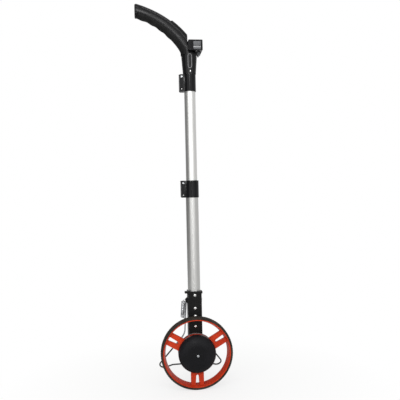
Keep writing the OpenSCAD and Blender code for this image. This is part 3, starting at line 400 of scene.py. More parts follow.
# %% Dress the solids
worn_by = {
    gloss_black: "middle_collar top_collar display_bezel",
    satin_black: "handle_near handle_far grip_end_cap",
    pod_black: "display_housing battery_door middle_lever top_lever",
    bracket_black: "bracket_front bracket_rear middle_bush inner_bush",
    cover_black: "hub_cover",
    shield_grey: "hub_shield",
    wheel_red: "wheel_body",
    tab_grey: "trigger",
    key_black: "button_left button_middle button_right",
    tyre_rubber: "tyre",
    grip_rubber: "finger_grip thumb_pad",
    drawn_aluminium: "middle_tube inner_tube",
    dull_aluminium: "lower_tube",
    bright_plate: "hub_cover_screws front_bearing rear_bearing bracket_screws bracket_nuts axle_nuts "
    "bearing_spacer shield_screws middle_clamp_pin top_clamp_pin handle_screws trigger_pin",
    spring_bright: "stand_spring trigger_spring",
    spring_zinc: "axle battery_contacts middle_clamp_screw top_clamp_screw",
    stand_steel: "stand_wire",
    magnet_ferrite: "magnet_ring",
    circuit_board: "sensor_board main_board",
    lead_jacket: "sensor_lead",
    clear_lens: "lcd_lens",
    lcd_panel: "lcd_module",
    cell_wrap: "batteries",
    label_grey: "side_label",
}


def wear(thing, finish):
    """Takes off whatever a piece wears and puts this finish on."""
    thing.data.materials.clear()
    thing.data.materials.append(finish)


for finish, names in worn_by.items():
    for name in names.split():
        wear(frame["nodes"][name], finish)
print("dressed", sum(len(names.split()) for names in worn_by.values()), "of", len(frame["nodes"]), "nodes")

# %% [markdown]
# ## Surfaces from arrays
# The new pieces are grids: a row of points for each step along a path, a column for each step
# round a section. They could be modelled by hand, but a formula keeps every size as a number that
# can be changed. The helpers number the quads of a grid, join shells into one mesh, draw circles
# and corners, and carry a round section along a path.

# %% Surface helpers
sharp_from = math.radians(35)
askew = [0.31, 0.59, 0.74]


def full_turn(count):
    """Even turns round a circle, without the last one, which is the first again."""
    return np.linspace(0, 2 * math.pi, count, endpoint=False)


def corner_curve(enter, corner, leave, count):
    """Curves from enter to leave, drawn towards the corner: enter is weighted by the square of what
    is left of the way, leave by the square of what is done, the corner by twice their product."""
    enter, corner, leave = [np.asarray(spot)[..., None, :] for spot in (enter, corner, leave)]
    s = np.linspace(0, 1, count)[:, None]
    return (1 - s) ** 2 * enter + 2 * s * (1 - s) * corner + s**2 * leave


def grid_quads(rows, columns, wrap_rows=False, wrap_columns=False):
    """Corner numbers of the quads of a grid whose points are stored row by row."""
    row = np.arange(rows if wrap_rows else rows - 1)[:, None]
    column = np.arange(columns if wrap_columns else columns - 1)[None, :]
    below, beside = (row + 1) % rows, (column + 1) % columns
    here, there = row * columns, below * columns
    corners = [here + column, here + beside, there + beside, there + column]
    return np.stack(np.broadcast_arrays(*corners), -1).reshape(-1, 4)


def rings_shell(rings, wrap=False):
    """Rings of points (rows, columns, 3), joined to a closed shell with a flat cap at each end."""
    rows, columns = rings.shape[:2]
    first = list(range(columns))
    caps = [] if wrap else [first, [(rows - 1) * columns + k for k in first]]
    return rings.reshape(-1, 3), grid_quads(rows, columns, wrap, True), caps


def add_piece(name, shells, body, finish, stands_for=()):
    """Joins shells into one mesh whose faces point outwards, and lets it ride on a body."""
    starts = np.cumsum([0] + [len(points) for points, _, _ in shells])
    points = np.concatenate([points for points, _, _ in shells])
    faces = np.concatenate([quads + start for (_, quads, _), start in zip(shells, starts)]).tolist()
    for (_, _, caps), start in zip(shells, starts):
        faces += [[int(start) + k for k in cap] for cap in caps]
    mesh = bpy.data.meshes.new(name)
    mesh.from_pydata(points.tolist(), [], faces)
    work = bmesh.new()
    work.from_mesh(mesh)
    bmesh.ops.recalc_face_normals(work, faces=work.faces)
    work.to_mesh(mesh)
    work.free()
    mesh.shade_smooth()
    mesh.set_sharp_from_angle(angle=sharp_from)
    piece = into_scene(name, mesh)
    wear(piece, finish)
    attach(piece, body)
    if stands_for:
        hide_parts(*stands_for)
    print(f"{name}: {len(points)} points, {len(faces)} faces, rides on {body}")
    return piece


def tube_along(path, radius, sides=14):
    """A round wire: at each point of the path, a ring of that radius across the path's direction.
    The first spoke is square to the path and to a line askew, which no path here starts along.
    Each later ring's first spoke is the last one's, turned only as far as the path turns."""
    ahead = np.gradient(path, axis=0)
    ahead /= np.linalg.norm(ahead, axis=1, keepdims=True)
    spoke = np.cross(ahead[0], askew)
    spokes = []
    for direction in ahead:
        spoke = spoke - direction * spoke.dot(direction)
        spoke = spoke / np.linalg.norm(spoke)
        spokes.append(spoke)
    across = np.array(spokes)
    other = np.cross(ahead, across)
    turn = full_turn(sides)[None, :, None]
    rings = path[:, None] + radius * (np.cos(turn) * across[:, None] + np.sin(turn) * other[:, None])
    return rings_shell(rings)


def evenly(path, step):
    """The same path with points at an even step along it."""
    along = np.concatenate([[0], np.cumsum(np.linalg.norm(np.diff(path, axis=0), axis=1))])
    wanted = np.linspace(0, along[-1], max(2, int(along[-1] / step) + 1))
    return np.stack([np.interp(wanted, along, path[:, k]) for k in range(3)], 1)


print("surface helpers ready")

# %% [markdown]
# ## The handle's path
# Neck and grip are one long section carried along a straight stretch and two arcs. A curve with a
# bevel could do that for one piece, but as functions the path and the section also place the rubber
# skins, the bead and every line on the handle.
# Sizes are in metres, measured from the foot of the neck. A hair is the gap where two pieces meet.

# %% Handle path and section
mast_y = (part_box("lower_tube")[0].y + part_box("lower_tube")[1].y) / 2
neck_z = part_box("handle_near")[0].z
neck_h, neck_bend_r, neck_bend = 0.042, 0.032, math.radians(33)
grip_bend_r, grip_bend = 0.190, math.radians(42)
grip_at = neck_h + neck_bend_r * neck_bend
grip_l = grip_bend_r * grip_bend
grip_end = grip_at + grip_l
section_end = grip_end + 0.012
depth_at = np.array([0, neck_h, grip_at, grip_at + 0.24 * grip_l, grip_at + 0.8 * grip_l, section_end])
half_depths = np.array([0.0144, 0.0177, 0.0163, 0.0159, 0.0144, 0.0153])
width_at = np.array([0, neck_h, grip_at, grip_at + 0.3 * grip_l, section_end])
half_widths = np.array([0.0144, 0.01575, 0.0155, 0.0145, 0.0145])
squareness, hair = 0.85, 0.00005
skin_t, pad_t = 0.0017, 0.0024
skin_from, skin_to = neck_h + 0.001, grip_end - 0.005
pad_from, pad_to = grip_at + 0.004, grip_at + 0.46 * grip_l
pod_low, pod_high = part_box("display_housing")


def path_turn(t):
    """Turn of the path from upright: none in the neck, then along each arc in its own radius."""
    bend = np.clip((t - neck_h) / neck_bend_r, 0, neck_bend)
    return bend + np.clip((t - grip_at) / grip_bend_r, 0, None)


def path_spot(t):
    """X and Z of the path: up the neck, round the tight bend, then round the wide one."""
    turn = path_turn(t)
    bend = np.minimum(turn, neck_bend)
    wide = np.maximum(turn, neck_bend)
    x = neck_bend_r * (np.cos(bend) - 1) + grip_bend_r * (np.cos(wide) - math.cos(neck_bend))
    z = np.minimum(t, neck_h) + neck_bend_r * np.sin(bend)
    z = z + grip_bend_r * (np.sin(wide) - math.sin(neck_bend))
    return x, neck_z + z


def eased(t, places, sizes, window=0.007):
    """Straight stretches between given sizes, with each corner eased by a running mean."""
    shifts = np.linspace(-window, window, 9)
    return np.mean([np.interp(t + shift, places, sizes) for shift in shifts], 0)


def rounded_power(value):
    """A sine or cosine raised to the squareness, with its sign kept: below 1 a circle turns squarer."""
    return np.sign(value) * np.abs(value) ** squareness


def handle_skin(t, turn, off):
    """Point of the handle at a distance along the path and a turn round it, raised by off:
    turn -90 is the underside, 0 the near side and 90 the top."""
    lean = path_turn(t)
    x, z = path_spot(t)
    up = (eased(t, depth_at, half_depths) + off) * rounded_power(np.sin(turn))
    out = (eased(t, width_at, half_widths) + off) * rounded_power(np.cos(turn))
    return np.stack(np.broadcast_arrays(x + up * np.cos(lean), mast_y - out, z + up * np.sin(lean)), -1)


print("grip ends at", np.round(path_spot(grip_end), 4))
print("pod from", np.round(pod_low, 4), "to", np.round(pod_high, 4))

# %% [markdown]
# ## Handle shells
# The two halves meet in a seam along the top and the underside. Each is a closed shell, the outer
# skin and an inner skin one wall inside it. Two fine grooves follow the grip's side, as the mould's
# trim lines do, and the shell steps in where the rubber skin lies. A Solidify modifier would carry
# the grooves and the step through to the inside, so the inner skin is drawn on its own.

# %% Handle shells
shell_t, step_t = 0.0024, 0.0004
seam_gap, skin_step = math.radians(1.2), np.radians([-23, -21])
trim_turns, trim_width, trim_depth = np.radians([20, 31]), math.radians(3.4), 0.0010
trim_ends = (grip_at, grip_at + 0.010, grip_end - 0.012, grip_end - 0.004)
pocket_x, pocket_half_w, pocket_z0 = 0.0128, 0.0084, pod_low.z - 0.0102


def smooth_step(value, low, high):
    """0 up to low, 1 from high, and between them three squares of the share less two cubes."""
    share = np.clip((value - low) / (high - low), 0, 1)
    return share * share * (3 - 2 * share)


def plateau(value, start, full, fade, stop):
    """0 outside start to stop, 1 from full to fade, with a smooth step on both sides."""
    return smooth_step(value, start, full) * (1 - smooth_step(value, fade, stop))


def fit_round_pod(points):
    """Draws points back to the pod's rear face above its floor, and clears the trigger's pocket."""
    x, y, z = np.moveaxis(points.copy(), -1, 0)
    x = np.where(z > pod_low.z, np.minimum(x, pod_low.x - hair), x)
    in_pocket = (np.abs(y - mast_y) < pocket_half_w) & (z > pocket_z0) & (z <= pod_low.z)
    x = np.where(in_pocket, np.minimum(x, pocket_x), x)
    x = np.maximum(x, path_spot(grip_end)[0])
    return np.stack([x, y, z], -1)


def shell_half(near):
    """Rings that run over the outer skin of one half and back along its inner skin."""
    neck_t, grip_t = np.linspace(0, skin_from, 150), np.linspace(skin_from + step_t, section_end, 130)
    t = np.concatenate([neck_t, grip_t])[:, None]
    turn = np.linspace(seam_gap - math.pi / 2, math.pi / 2 - seam_gap, 108)[None, :]
    step_in = plateau(t, skin_from - step_t, skin_from, skin_to, skin_to + step_t)
    under_skin = step_in * (1 - smooth_step(turn, *skin_step))
    grooves = sum(np.exp(-(((turn - place) / trim_width) ** 2)) for place in trim_turns)
    trim = trim_depth * plateau(t, *trim_ends) * grooves
    outer = handle_skin(t, turn, -skin_t * under_skin - trim)
    inner = handle_skin(t, turn[:, ::-1], -shell_t - skin_t + 0 * t)
    rings = fit_round_pod(np.concatenate([outer, inner], 1))
    if not near:
        rings[..., 1] = 2 * mast_y - rings[..., 1]
    return rings_shell(rings)


for side, near in (("near", True), ("far", False)):
    shell, solid = f"handle_shell_{side}", f"handle_{side}"
    add_piece(shell, [shell_half(near)], "handle", satin_black, [solid])

# %% [markdown]
# ## Neck frame
# On the near side of the neck a glossy bead follows a long oval, with a small stud below it. Its light
# grey is a painted highlight, for light caught along the edge of a glossy black rib. A curve could be
# shrunk onto the shell, but the shell's own formula gives the exact spots: the oval is drawn flat, as
# distance across and up the neck, and laid on the handle's surface.

# %% Neck frame
frame_half_w, frame_half_h, frame_t, bead_r, corner_pull = 0.0040, 0.0115, 0.0275, 0.0010, 4
stud_t, stud_across, stud_r, stud_long = 0.0052, 0.0008, 0.0016, 1.8
stud_sunk, stud_rise, dome_tip = 0.0006, 0.0014, 0.08
# Painted highlight: the bead is light grey to stand for light on a glossy black rib's edge.
bead_grey = moulded("bead_grey", shade(88, 88, 90), shade(112, 112, 114), 0.16, 900, 2e-6, 0.6)


def oval_outline(count):
    """Across and up along a long oval: the end of a turning arm, moved up or down by the straight
    half-height on each half of the turn."""
    turn = full_turn(count)
    up = frame_half_w * np.sin(turn) + frame_half_h * np.tanh(corner_pull * np.sin(turn))
    return frame_half_w * np.cos(turn), up


def ring_tube(path, radius, sides=10):
    """A closed bead: rings across a closed path, with the direction taken from its neighbours."""
    ahead = np.roll(path, -1, 0) - np.roll(path, 1, 0)
    ahead /= np.linalg.norm(ahead, axis=1, keepdims=True)
    out = np.array([0.0, -1.0, 0.0]) - ahead * (-ahead[:, 1:2])
    out /= np.linalg.norm(out, axis=1, keepdims=True)
    side = np.cross(ahead, out)
    turn = full_turn(sides)[None, :, None]
    rings = path[:, None] + radius * (np.cos(turn) * out[:, None] + np.sin(turn) * side[:, None])
    return rings_shell(rings, wrap=True)


def on_neck(across, up):
    """Spot on the neck's near side at that distance across and up."""
    depth = eased(up, depth_at, half_depths)
    turn = np.arcsin(np.sign(across) * np.abs(across / depth) ** (1 / squareness))
    return handle_skin(up, turn, 0.0)


across, up = oval_outline(96)
bead_line = on_neck(across, frame_t + up)
add_piece("neck_frame", [ring_tube(bead_line, bead_r)], "handle", bead_grey)
a, turn = np.linspace(dome_tip, math.pi / 2, 10)[:, None], full_turn(28)[None, :]
stud_at = on_neck(np.array(stud_across), np.array(stud_t))
stud = np.stack(np.broadcast_arrays(
    stud_at[0] + stud_r * np.sin(a) * np.cos(turn), stud_at[1] + stud_sunk - stud_rise * np.cos(a),
    stud_at[2] + stud_long * stud_r * np.sin(a) * np.sin(turn),
), -1)
add_piece("neck_stud", [rings_shell(stud)], "handle", bright_plate)

# %% [markdown]
# ## Rubber skins of the grip
# Under the grip lies a soft skin with a row of low swells between the fingers and fine cross ribs.
# On top, where the thumb rests, is a raised pad with pips. Sculpting would suit such soft forms, but
# they have to lie close on the shell, so both are patches of the handle's own surface, thick in the
# middle and drawn down to their edges.

# %% Rubber skins
finger_count, finger_swell, finger_start = 4, 0.0011, 0.35
rib_pitch, rib_height = 0.0026, 0.00022
skin_gap, skin_sunk, skin_trim, lip_proud, lip_l = 0.0002, 0.00025, 0.0001, 0.0014, 0.035
skin_turns, pad_turns = np.radians([-158, -146, -34, -22]), np.radians([42, 54, 126, 138])
pad_edge, pad_ease_low, pad_ease_high = 0.0002, 0.012, 0.0022
pip_height, pip_pitch, pips_round = 0.00018, 0.0024, 22


def patch_shell(t, turn, rise, floor):
    """A closed patch: the raised skin one way across and its flat underside back again."""
    top = handle_skin(t, turn, rise)
    bottom = handle_skin(t, turn[:, ::-1], floor + 0 * t)
    return rings_shell(fit_round_pod(np.concatenate([top, bottom], 1)))


t = np.linspace(skin_from + skin_trim, skin_to - skin_trim, 400)[:, None]
turn = np.linspace(skin_turns[0], skin_turns[-1], 40)[None, :]
share = np.clip(((t - skin_from) / (skin_to - skin_from) - finger_start) / (1 - finger_start), 0, 1)
swells = finger_swell * (1 - np.cos(2 * math.pi * finger_count * share)) / 2
amid = plateau(turn, *skin_turns)
lip = lip_proud * (1 - smooth_step(t, skin_from, skin_from + lip_l))
ribs = rib_height * amid * (np.cos(2 * math.pi * (t - skin_from) / rib_pitch) - 1) / 2
finger_skin = patch_shell(t, turn, ribs + (swells + lip) * amid - skin_sunk * (1 - amid), skin_gap - skin_t)
add_piece("finger_skin", [finger_skin], "handle", grip_rubber, ["finger_grip"])

t = np.linspace(pad_from, pad_to, 150)[:, None]
turn = np.linspace(pad_turns[0], pad_turns[-1], 36)[None, :]
edge_t = plateau(t, pad_from, pad_from + pad_ease_low, pad_to - pad_ease_high, pad_to)
pips = pip_height * np.cos(2 * math.pi * t / pip_pitch) * np.cos(turn * pips_round)
pad_rise = pad_edge + (pad_t - pad_edge + pips) * edge_t * plateau(turn, *pad_turns)
thumb_skin = patch_shell(t, turn, pad_rise, hair)
add_piece("thumb_skin", [thumb_skin], "handle", grip_rubber, ["thumb_pad"])

# %% [markdown]
# ## Stand wire
# One steel wire makes the whole stand: a pin in the bracket, a leg, a bend outwards, a round foot,
# the cross wire with a slight bend, and the same again. A Bezier curve would do, but its handles say
# nothing about sizes. The route lies in one leaning plane, so it is drawn there with arcs and
# straight runs, and then tipped into place.

# %% Stand wire
joint_of = {joint["name"]: joint for joint in frame["joints"]}
pivot = np.array(joint_of["stand_fold"]["pos_m"])
stand_lean = math.radians(31)
wire_r, wire_step = 0.0018, 0.0011
bracket_half, pivot_bend, pin_end = 0.0152, 0.00215, 0.0110
leg_x = bracket_half + hair + pivot_bend
knee_at, knee_before, knee_after = 0.112, 0.014, 0.016
foot_r, feet_w, cross_rise, bend_x, bend_rise = 0.011, 0.156, 0.009, 0.044, 0.0078
leg_l = (pivot[2] - wire_r) / math.cos(stand_lean)


def arc(centre, radius, start, stop, count):
    """Points on a circle in the stand's plane, from one turn to another."""
    angle = np.linspace(start, stop, count)
    return centre + radius * np.stack([np.cos(angle), np.sin(angle)], 1)


def touch_turn(point, centre, radius, side):
    """Turn at which a straight line from a point touches a circle."""
    away = point - centre
    return math.atan2(away[1], away[0]) + side * math.acos(radius / np.hypot(*away))


def tip_into_place(flat):
    """Across stays X; the distance along the legs leans back from the pivot."""
    across, along = flat.T
    back, down = along * math.sin(stand_lean), along * math.cos(stand_lean)
    return np.stack([across, pivot[1] + back, pivot[2] - down], 1)


knee = np.array([leg_x, knee_at])
foot_mid = np.array([feet_w / 2 - wire_r - foot_r, leg_l - foot_r])
cross_mid = np.array([0, leg_l - cross_rise])
flare_turn = touch_turn(knee, foot_mid, foot_r, 1)
cross_bend = np.array([bend_x, leg_l - bend_rise])
cross_turn = touch_turn(cross_bend, foot_mid, foot_r, -1) % (2 * math.pi)
if cross_turn < flare_turn:
    cross_turn += 2 * math.pi
flare_touch = foot_mid + foot_r * np.array([math.cos(flare_turn), math.sin(flare_turn)])
flare_way = (flare_touch - knee) / np.linalg.norm(flare_touch - knee)
knee_curve = corner_curve(knee - [0, knee_before], knee, knee + knee_after * flare_way, 15)
half_route = np.concatenate([
    [[pin_end, 0]], arc([leg_x - pivot_bend, pivot_bend], pivot_bend, -math.pi / 2, 0, 9), knee_curve,
    arc(foot_mid, foot_r, flare_turn, cross_turn, 33), [cross_bend],
])
stand_route = tip_into_place(np.concatenate([half_route, [cross_mid], half_route[::-1] * [-1, 1]]))
stand_tube = tube_along(evenly(stand_route, wire_step), wire_r, 16)
add_piece("stand_bent_wire", [stand_tube], "stand", stand_steel, ["stand_wire"])

# %% [markdown]
# ## Stand spring
# The tension spring is one wire as well: an eye in the bracket's lug, a short neck, close coils,
# a neck, and a hook that goes round the leg. A Screw modifier would give the coils only. Here a
# helix gives them, and the same wire runs on into the eye and the hook.

# %% Stand spring
spring_r, spring_wire_r, spring_turns, spring_end = 0.00405, 0.00055, 22, 0.0072
anchor = np.array(joint_of["spring_swing"]["pos_m"])
spring_reach, spring_step = 0.062, 0.0007
spring_gap, lug_gap, hook_gap, lug_in, eye_out = 0.0004, 0.0009, 0.0002, 0.004, 0.0012
top_shares, low_shares = np.array([0.15, 0.4, 0.65]), np.array([0.65, 0.42])
hook_at = pivot + spring_reach * np.array([0, math.sin(stand_lean), -math.cos(stand_lean)])
spring_l = np.linalg.norm(hook_at - anchor)
spring_way = (hook_at - anchor) / spring_l
spring_side = np.cross([1, 0, 0], spring_way)
spring_x = -(leg_x + wire_r + spring_r + spring_wire_r + spring_gap)
lug_face = -(leg_x + wire_r + lug_gap)
hook_r = wire_r + spring_wire_r + hook_gap


def spring_spot(along, across=0.0, aside=0.0):
    """Point beside the spring's axis: along it, across it in X, and aside square to both."""
    spot = anchor + np.multiply.outer(along, spring_way) + np.multiply.outer(aside, spring_side)
    return spot + np.multiply.outer(spring_x + across, [1, 0, 0])


turn = np.linspace(0, 2 * math.pi * spring_turns, spring_turns * 22)
coil_along = np.linspace(spring_end, spring_l - spring_end, len(turn))
coils = spring_spot(coil_along, spring_r * np.cos(turn), spring_r * np.sin(turn))
top_neck = spring_spot(spring_end * top_shares)
low_neck = spring_spot(spring_l - spring_end * low_shares)
eye = anchor + np.multiply.outer([lug_face + lug_in, lug_face, spring_x + eye_out], [1, 0, 0])
round_leg = np.radians(np.linspace(-150, 130, 22))
hook_across = np.multiply.outer(-hook_r * np.cos(round_leg) - leg_x, [1, 0, 0])
hook = hook_at + hook_across + np.multiply.outer(-hook_r * np.sin(round_leg), spring_side)
spring_route = np.concatenate([eye, top_neck, coils, low_neck, hook])
spring_tube = tube_along(evenly(spring_route, spring_step), spring_wire_r, 8)
add_piece(
    "stand_coil_spring", [spring_tube], "stand_spring", spring_bright, ["stand_spring"],
)

# %% [markdown]
# ## Sensor lead
# The lead runs from the sensor up inside the tubes, and has to shorten when these slide together,
# so the long part is a curly lead. It is hidden, but a cut through the mast would show it. The
# short end at the sensor and the curls both ride on the lower mast.

# %% Sensor lead
lead_r, curl_r, curl_turns = 0.0012, 0.0050, 44
lead_low, lead_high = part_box("sensor_lead")
lead_x, lead_inset, corner_r = 0.009, 0.0015, 0.003
curl_clear, run_in, run_out, plug_in = 0.008, 0.012, 0.020, 0.0045
lead_z = lead_low.z + lead_inset
curl_z0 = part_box("bracket_front")[1].z + curl_clear
curl_z1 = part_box("top_collar")[0].z
lead_top = np.array([-0.0065, mast_y + 0.004, lead_high.z - lead_inset])


def eased_corners(corners, radius, count=7):
    """A route of straight runs whose corners are quarter-round curves of that radius."""
    corners = np.array(corners, float)
    before, at, after = corners[:-2], corners[1:-1], corners[2:]
    enter = at + radius * (before - at) / np.linalg.norm(before - at, axis=1, keepdims=True)
    leave = at + radius * (after - at) / np.linalg.norm(after - at, axis=1, keepdims=True)
    curves = corner_curve(enter, at, leave, count)
    return np.concatenate([corners[:1], curves.reshape(-1, 3), corners[-1:]])


foot_route = eased_corners([
    [lead_x, lead_low.y, lead_z], [lead_x, mast_y, lead_z], [lead_x, mast_y, curl_z0 - run_in],
    [curl_r, mast_y, curl_z0],
], corner_r)
foot_tube = tube_along(evenly(foot_route, 0.0015), lead_r, 10)
add_piece("sensor_lead_foot", [foot_tube], "mast_lower", lead_jacket, ["sensor_lead"])
turn = np.linspace(0, 2 * math.pi * curl_turns, curl_turns * 16)
curls = np.stack([
    curl_r * np.cos(turn), mast_y + curl_r * np.sin(turn), np.linspace(curl_z0, curl_z1, len(turn)),
], 1)
rise = eased_corners([
    curls[-1], [lead_top[0], lead_top[1], curl_z1 + run_out], lead_top, lead_top + [plug_in, 0, 0],
], corner_r)
curl_tube = tube_along(evenly(np.concatenate([curls, rise]), 0.0018), lead_r, 8)
curly = add_piece(
    "sensor_lead_curls", [curl_tube], "mast_lower", lead_jacket, ["sensor_lead"],
)
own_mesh(curly)

# %% [markdown]
# ## Turned pieces of the wheel
# Tyre, rim, hub and cover are round about the axle, so each is a profile of radius and depth that
# is carried round in a circle. A Spin leaves a seam to merge; a grid whose last row joins the first
# has none. A moulded corner is never sharp, so the profiles are rounded. The tread is pressed into
# the tyre after that, as a change of radius along the circle.

# %% Tyre and cover
axle_z = joint_of["wheel_spin"]["pos_m"][2]
wheel_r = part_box("tyre")[1].z - axle_z
tyre_half, rim_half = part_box("tyre")[1].y, 0.009
tyre_t, rim_lip, rim_root = 0.0046, 0.0024, 0.0066
rim_r = wheel_r - tyre_t
tread_depth, tread_blocks, tread_band = 0.0008, 96, 0.0002
cut_depth, cut_from, cut_full = 0.0006, 0.5, 0.9
tread_side, rib_side, groove_half = 0.3 * tyre_half, 0.36 * tyre_half, 0.26 * tyre_half
cover_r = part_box("hub_cover")[1].x
cover_back, cover_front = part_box("hub_cover")[1].y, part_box("hub_cover")[0].y
cover_round, cover_dome, cover_t, cover_hole, cover_edge = 0.022, 0.015, 0.002, 0.0032, 0.0006
fine_round = 0.0005


def rounded_profile(corners, radius, count=5):
    """A closed profile whose corners become short curves, each drawn between points that lie the
    radius away from the corner along its two sides."""
    corners = np.array(corners, float)
    sides = [np.roll(corners, shift, 0) - corners for shift in (1, -1)]
    lengths = [np.linalg.norm(side, axis=1, keepdims=True) for side in sides]
    reach = np.minimum(radius, 0.45 * np.minimum(*lengths))
    enter, leave = [corners + side / length * reach for side, length in zip(sides, lengths)]
    return corner_curve(enter, corners, leave, count).reshape(-1, 2)


def carried_round(profile, steps, press=None):
    """The profile's radius and depth at every turn about the axle, less what press takes away."""
    turn = full_turn(steps)[:, None]
    radius, depth = profile[:, 0][None, :], profile[:, 1][None, :]
    if press is not None:
        radius = radius - press(turn, radius, depth)
    rings = np.broadcast_arrays(radius * np.cos(turn), depth, axle_z + radius * np.sin(turn))
    return rings_shell(np.stack(rings, -1), wrap=True)


def tread(turn, radius, depth):
    """Cross cuts between the blocks of the tread, half a block apart on the two sides."""
    wave = np.cos(tread_blocks * turn + np.where(depth > 0, math.pi, 0))
    return cut_depth * smooth_step(wave, cut_from, cut_full) * (radius > wheel_r - tread_band)


tyre_corners = [
    (rim_r, -tyre_half), (wheel_r - tread_depth, -tyre_half), (wheel_r, tread_side - tyre_half),
    (wheel_r, -rib_side), (wheel_r - tread_depth, -groove_half),
]
tyre_corners += [(radius, -depth) for radius, depth in tyre_corners[::-1]]
tyre_band = carried_round(rounded_profile(tyre_corners, fine_round), 768, tread)
add_piece("tyre_band", [tyre_band], "wheel", tyre_rubber, ["tyre"])

shoulder = np.linspace(0, math.pi / 2, 26)


def dome_line(inset):
    """Radius and depth over the cover's shoulder, a quarter of an ellipse, drawn in by inset."""
    radius = cover_r - cover_round + (cover_round - inset) * np.sin(shoulder)
    return np.stack([radius, cover_front + cover_dome - (cover_dome - inset) * np.cos(shoulder)], 1)


cover_profile = np.concatenate([
    [[cover_hole, cover_front + cover_edge], [cover_hole + cover_edge, cover_front]], dome_line(0),
    [[cover_r, cover_back - cover_edge], [cover_r - cover_edge, cover_back], [cover_r - cover_t, cover_back]],
    dome_line(cover_t)[::-1], [[cover_hole, cover_front + cover_t]],
])
hub_dome = carried_round(cover_profile, 180)
add_piece("hub_dome", [hub_dome], "wheel", cover_black, ["hub_cover"])

# %% [markdown]
# ## Red wheel
# Rim, spokes and hub are one moulding. The rim leans inwards towards its back, so more of its
# inside shows below and to the right. Each spoke has a slot that widens towards the rim and runs
# into it. A Boolean could cut the slot, but it leaves ragged faces, so a spoke is two rails with the
# slot between them, and a raised bead follows their edges.

# %% Red wheel
spoke_half, web_half, spoke_turns = 0.01425, 0.003, np.radians([-90, 30, 150])
slot_hub, slot_rim, slot_round, slot_clear, slot_into_rim = 0.0025, 0.0043, 0.0022, 0.006, 0.0014
bead, bead_out_w, bead_in_w, bead_in_share = 0.0007, 0.12, 0.10, 0.6
edge_in, edge_out, edge_drop, rail_overlap = 0.02, 0.97, 0.0006, 0.0003
hub_r, hub_in, hub_back, boss_r, bore_r, step_r = 0.0395, 0.0365, 0.012, 0.015, 0.011, 0.009
boss_front, boss_back, step_front, step_back, disc_r = -0.009, 0.010, -0.001, 0.003, cover_r - 0.001
rim_round, spoke_sunk = 0.0008, 0.0015
slot_from, slot_to = cover_r + slot_clear, rim_r - (rim_lip + rim_root) / 2 + slot_into_rim
spoke_from, spoke_to = hub_r - spoke_sunk, math.sqrt((rim_r - rim_lip / 2) ** 2 - spoke_half**2)
rim_corners = [
    (rim_r - rim_lip, -rim_half), (rim_r, -rim_half), (rim_r, rim_half), (rim_r - rim_root, rim_half),
]
hub_corners = [
    (bore_r, boss_front), (boss_r, boss_front), (boss_r, cover_back), (disc_r, cover_back), (disc_r, 0),
    (hub_r, 0), (hub_r, hub_back), (hub_in, hub_back), (hub_in, 0), (boss_r, 0), (boss_r, boss_back),
    (bore_r, boss_back), (bore_r, step_back), (step_r, step_back), (step_r, step_front), (bore_r, step_front),
]


def spoke_rail(turn, side):
    """Half a spoke: along it the slot's edge swings out, across it a flat bar carries its beads."""
    s = np.linspace(spoke_from, spoke_to, 120)[:, None]
    opened = np.sqrt(np.clip((s - slot_from) / slot_round, 0, 1) * np.clip((slot_to - s) / slot_round, 0, 1))
    slot = np.interp(s, [slot_from, slot_to], [slot_hub, slot_rim]) * opened - rail_overlap * (1 - opened)
    share = np.concatenate([[0, edge_in, 0.06], np.linspace(0.12, 0.88, 9), [0.92, edge_out, 1.0]])[None, :]
    across = slot + (spoke_half - slot) * share
    outer_bead = bead * np.exp(-(((1 - share) / bead_out_w) ** 2))
    inner_bead = bead_in_share * bead * np.exp(-((share / bead_in_w) ** 2)) * opened
    rounding = np.maximum(1 - share / edge_in, 0) + np.maximum((share - edge_out) / (1 - edge_out), 0)
    half_t = web_half + outer_bead + inner_bead - edge_drop * rounding
    across = np.concatenate([across, across[:, ::-1]], 1) * side
    depth = np.concatenate([-half_t, half_t[:, ::-1]], 1)
    x = s * math.cos(turn) - across * math.sin(turn)
    z = axle_z + s * math.sin(turn) + across * math.cos(turn)
    return rings_shell(np.stack([x, depth, z], -1))


rim = carried_round(rounded_profile(rim_corners, rim_round), 240)
hub = carried_round(rounded_profile(hub_corners, fine_round), 180)
rails = [spoke_rail(turn, side) for turn in spoke_turns for side in (-1, 1)]
add_piece("wheel_moulding", [rim, hub] + rails, "wheel", wheel_red, ["wheel_body"])

# %% [markdown]
# ## Screws and rivets
# The bright heads on the bracket and on the clamps are domed, so each shows a light top and a dark
# lower edge. Their solids are flat discs, which a bevel would not make round enough. A lathe makes
# them: a list of radius and depth turned about the screw's own line, with a cross pressed into the
# head.

# %% Screws and rivets
arm_w, arm_l, arm_depth = np.array([1.3, 0.9]), np.array([0.72, 0.6]), 0.22
point_share, point_l = 0.6, 0.0006


def lathe(profile, x, z, steps=40, cross=0.0):
    """A profile of radius and depth turned about a line along Y; cross is the half-width of a
    cross-shaped recess in the first part of the profile."""
    turn = full_turn(steps)[None, :]
    radius, depth = profile[:, 0][:, None], profile[:, 1][:, None]
    across, up = radius * np.cos(turn), radius * np.sin(turn)
    narrow = np.minimum(np.abs(across), np.abs(up))
    head_r = profile[:, 0].max()
    sunk = 0 * narrow
    if cross:
        sunk = smooth_step(-narrow, *(-arm_w * cross)) * smooth_step(-radius, *(-arm_l * head_r))
        sunk = sunk * (depth < profile[:, 1].min() + head_r)
    return rings_shell(np.stack([x + across, depth + arm_depth * head_r * sunk, z + up], -1))


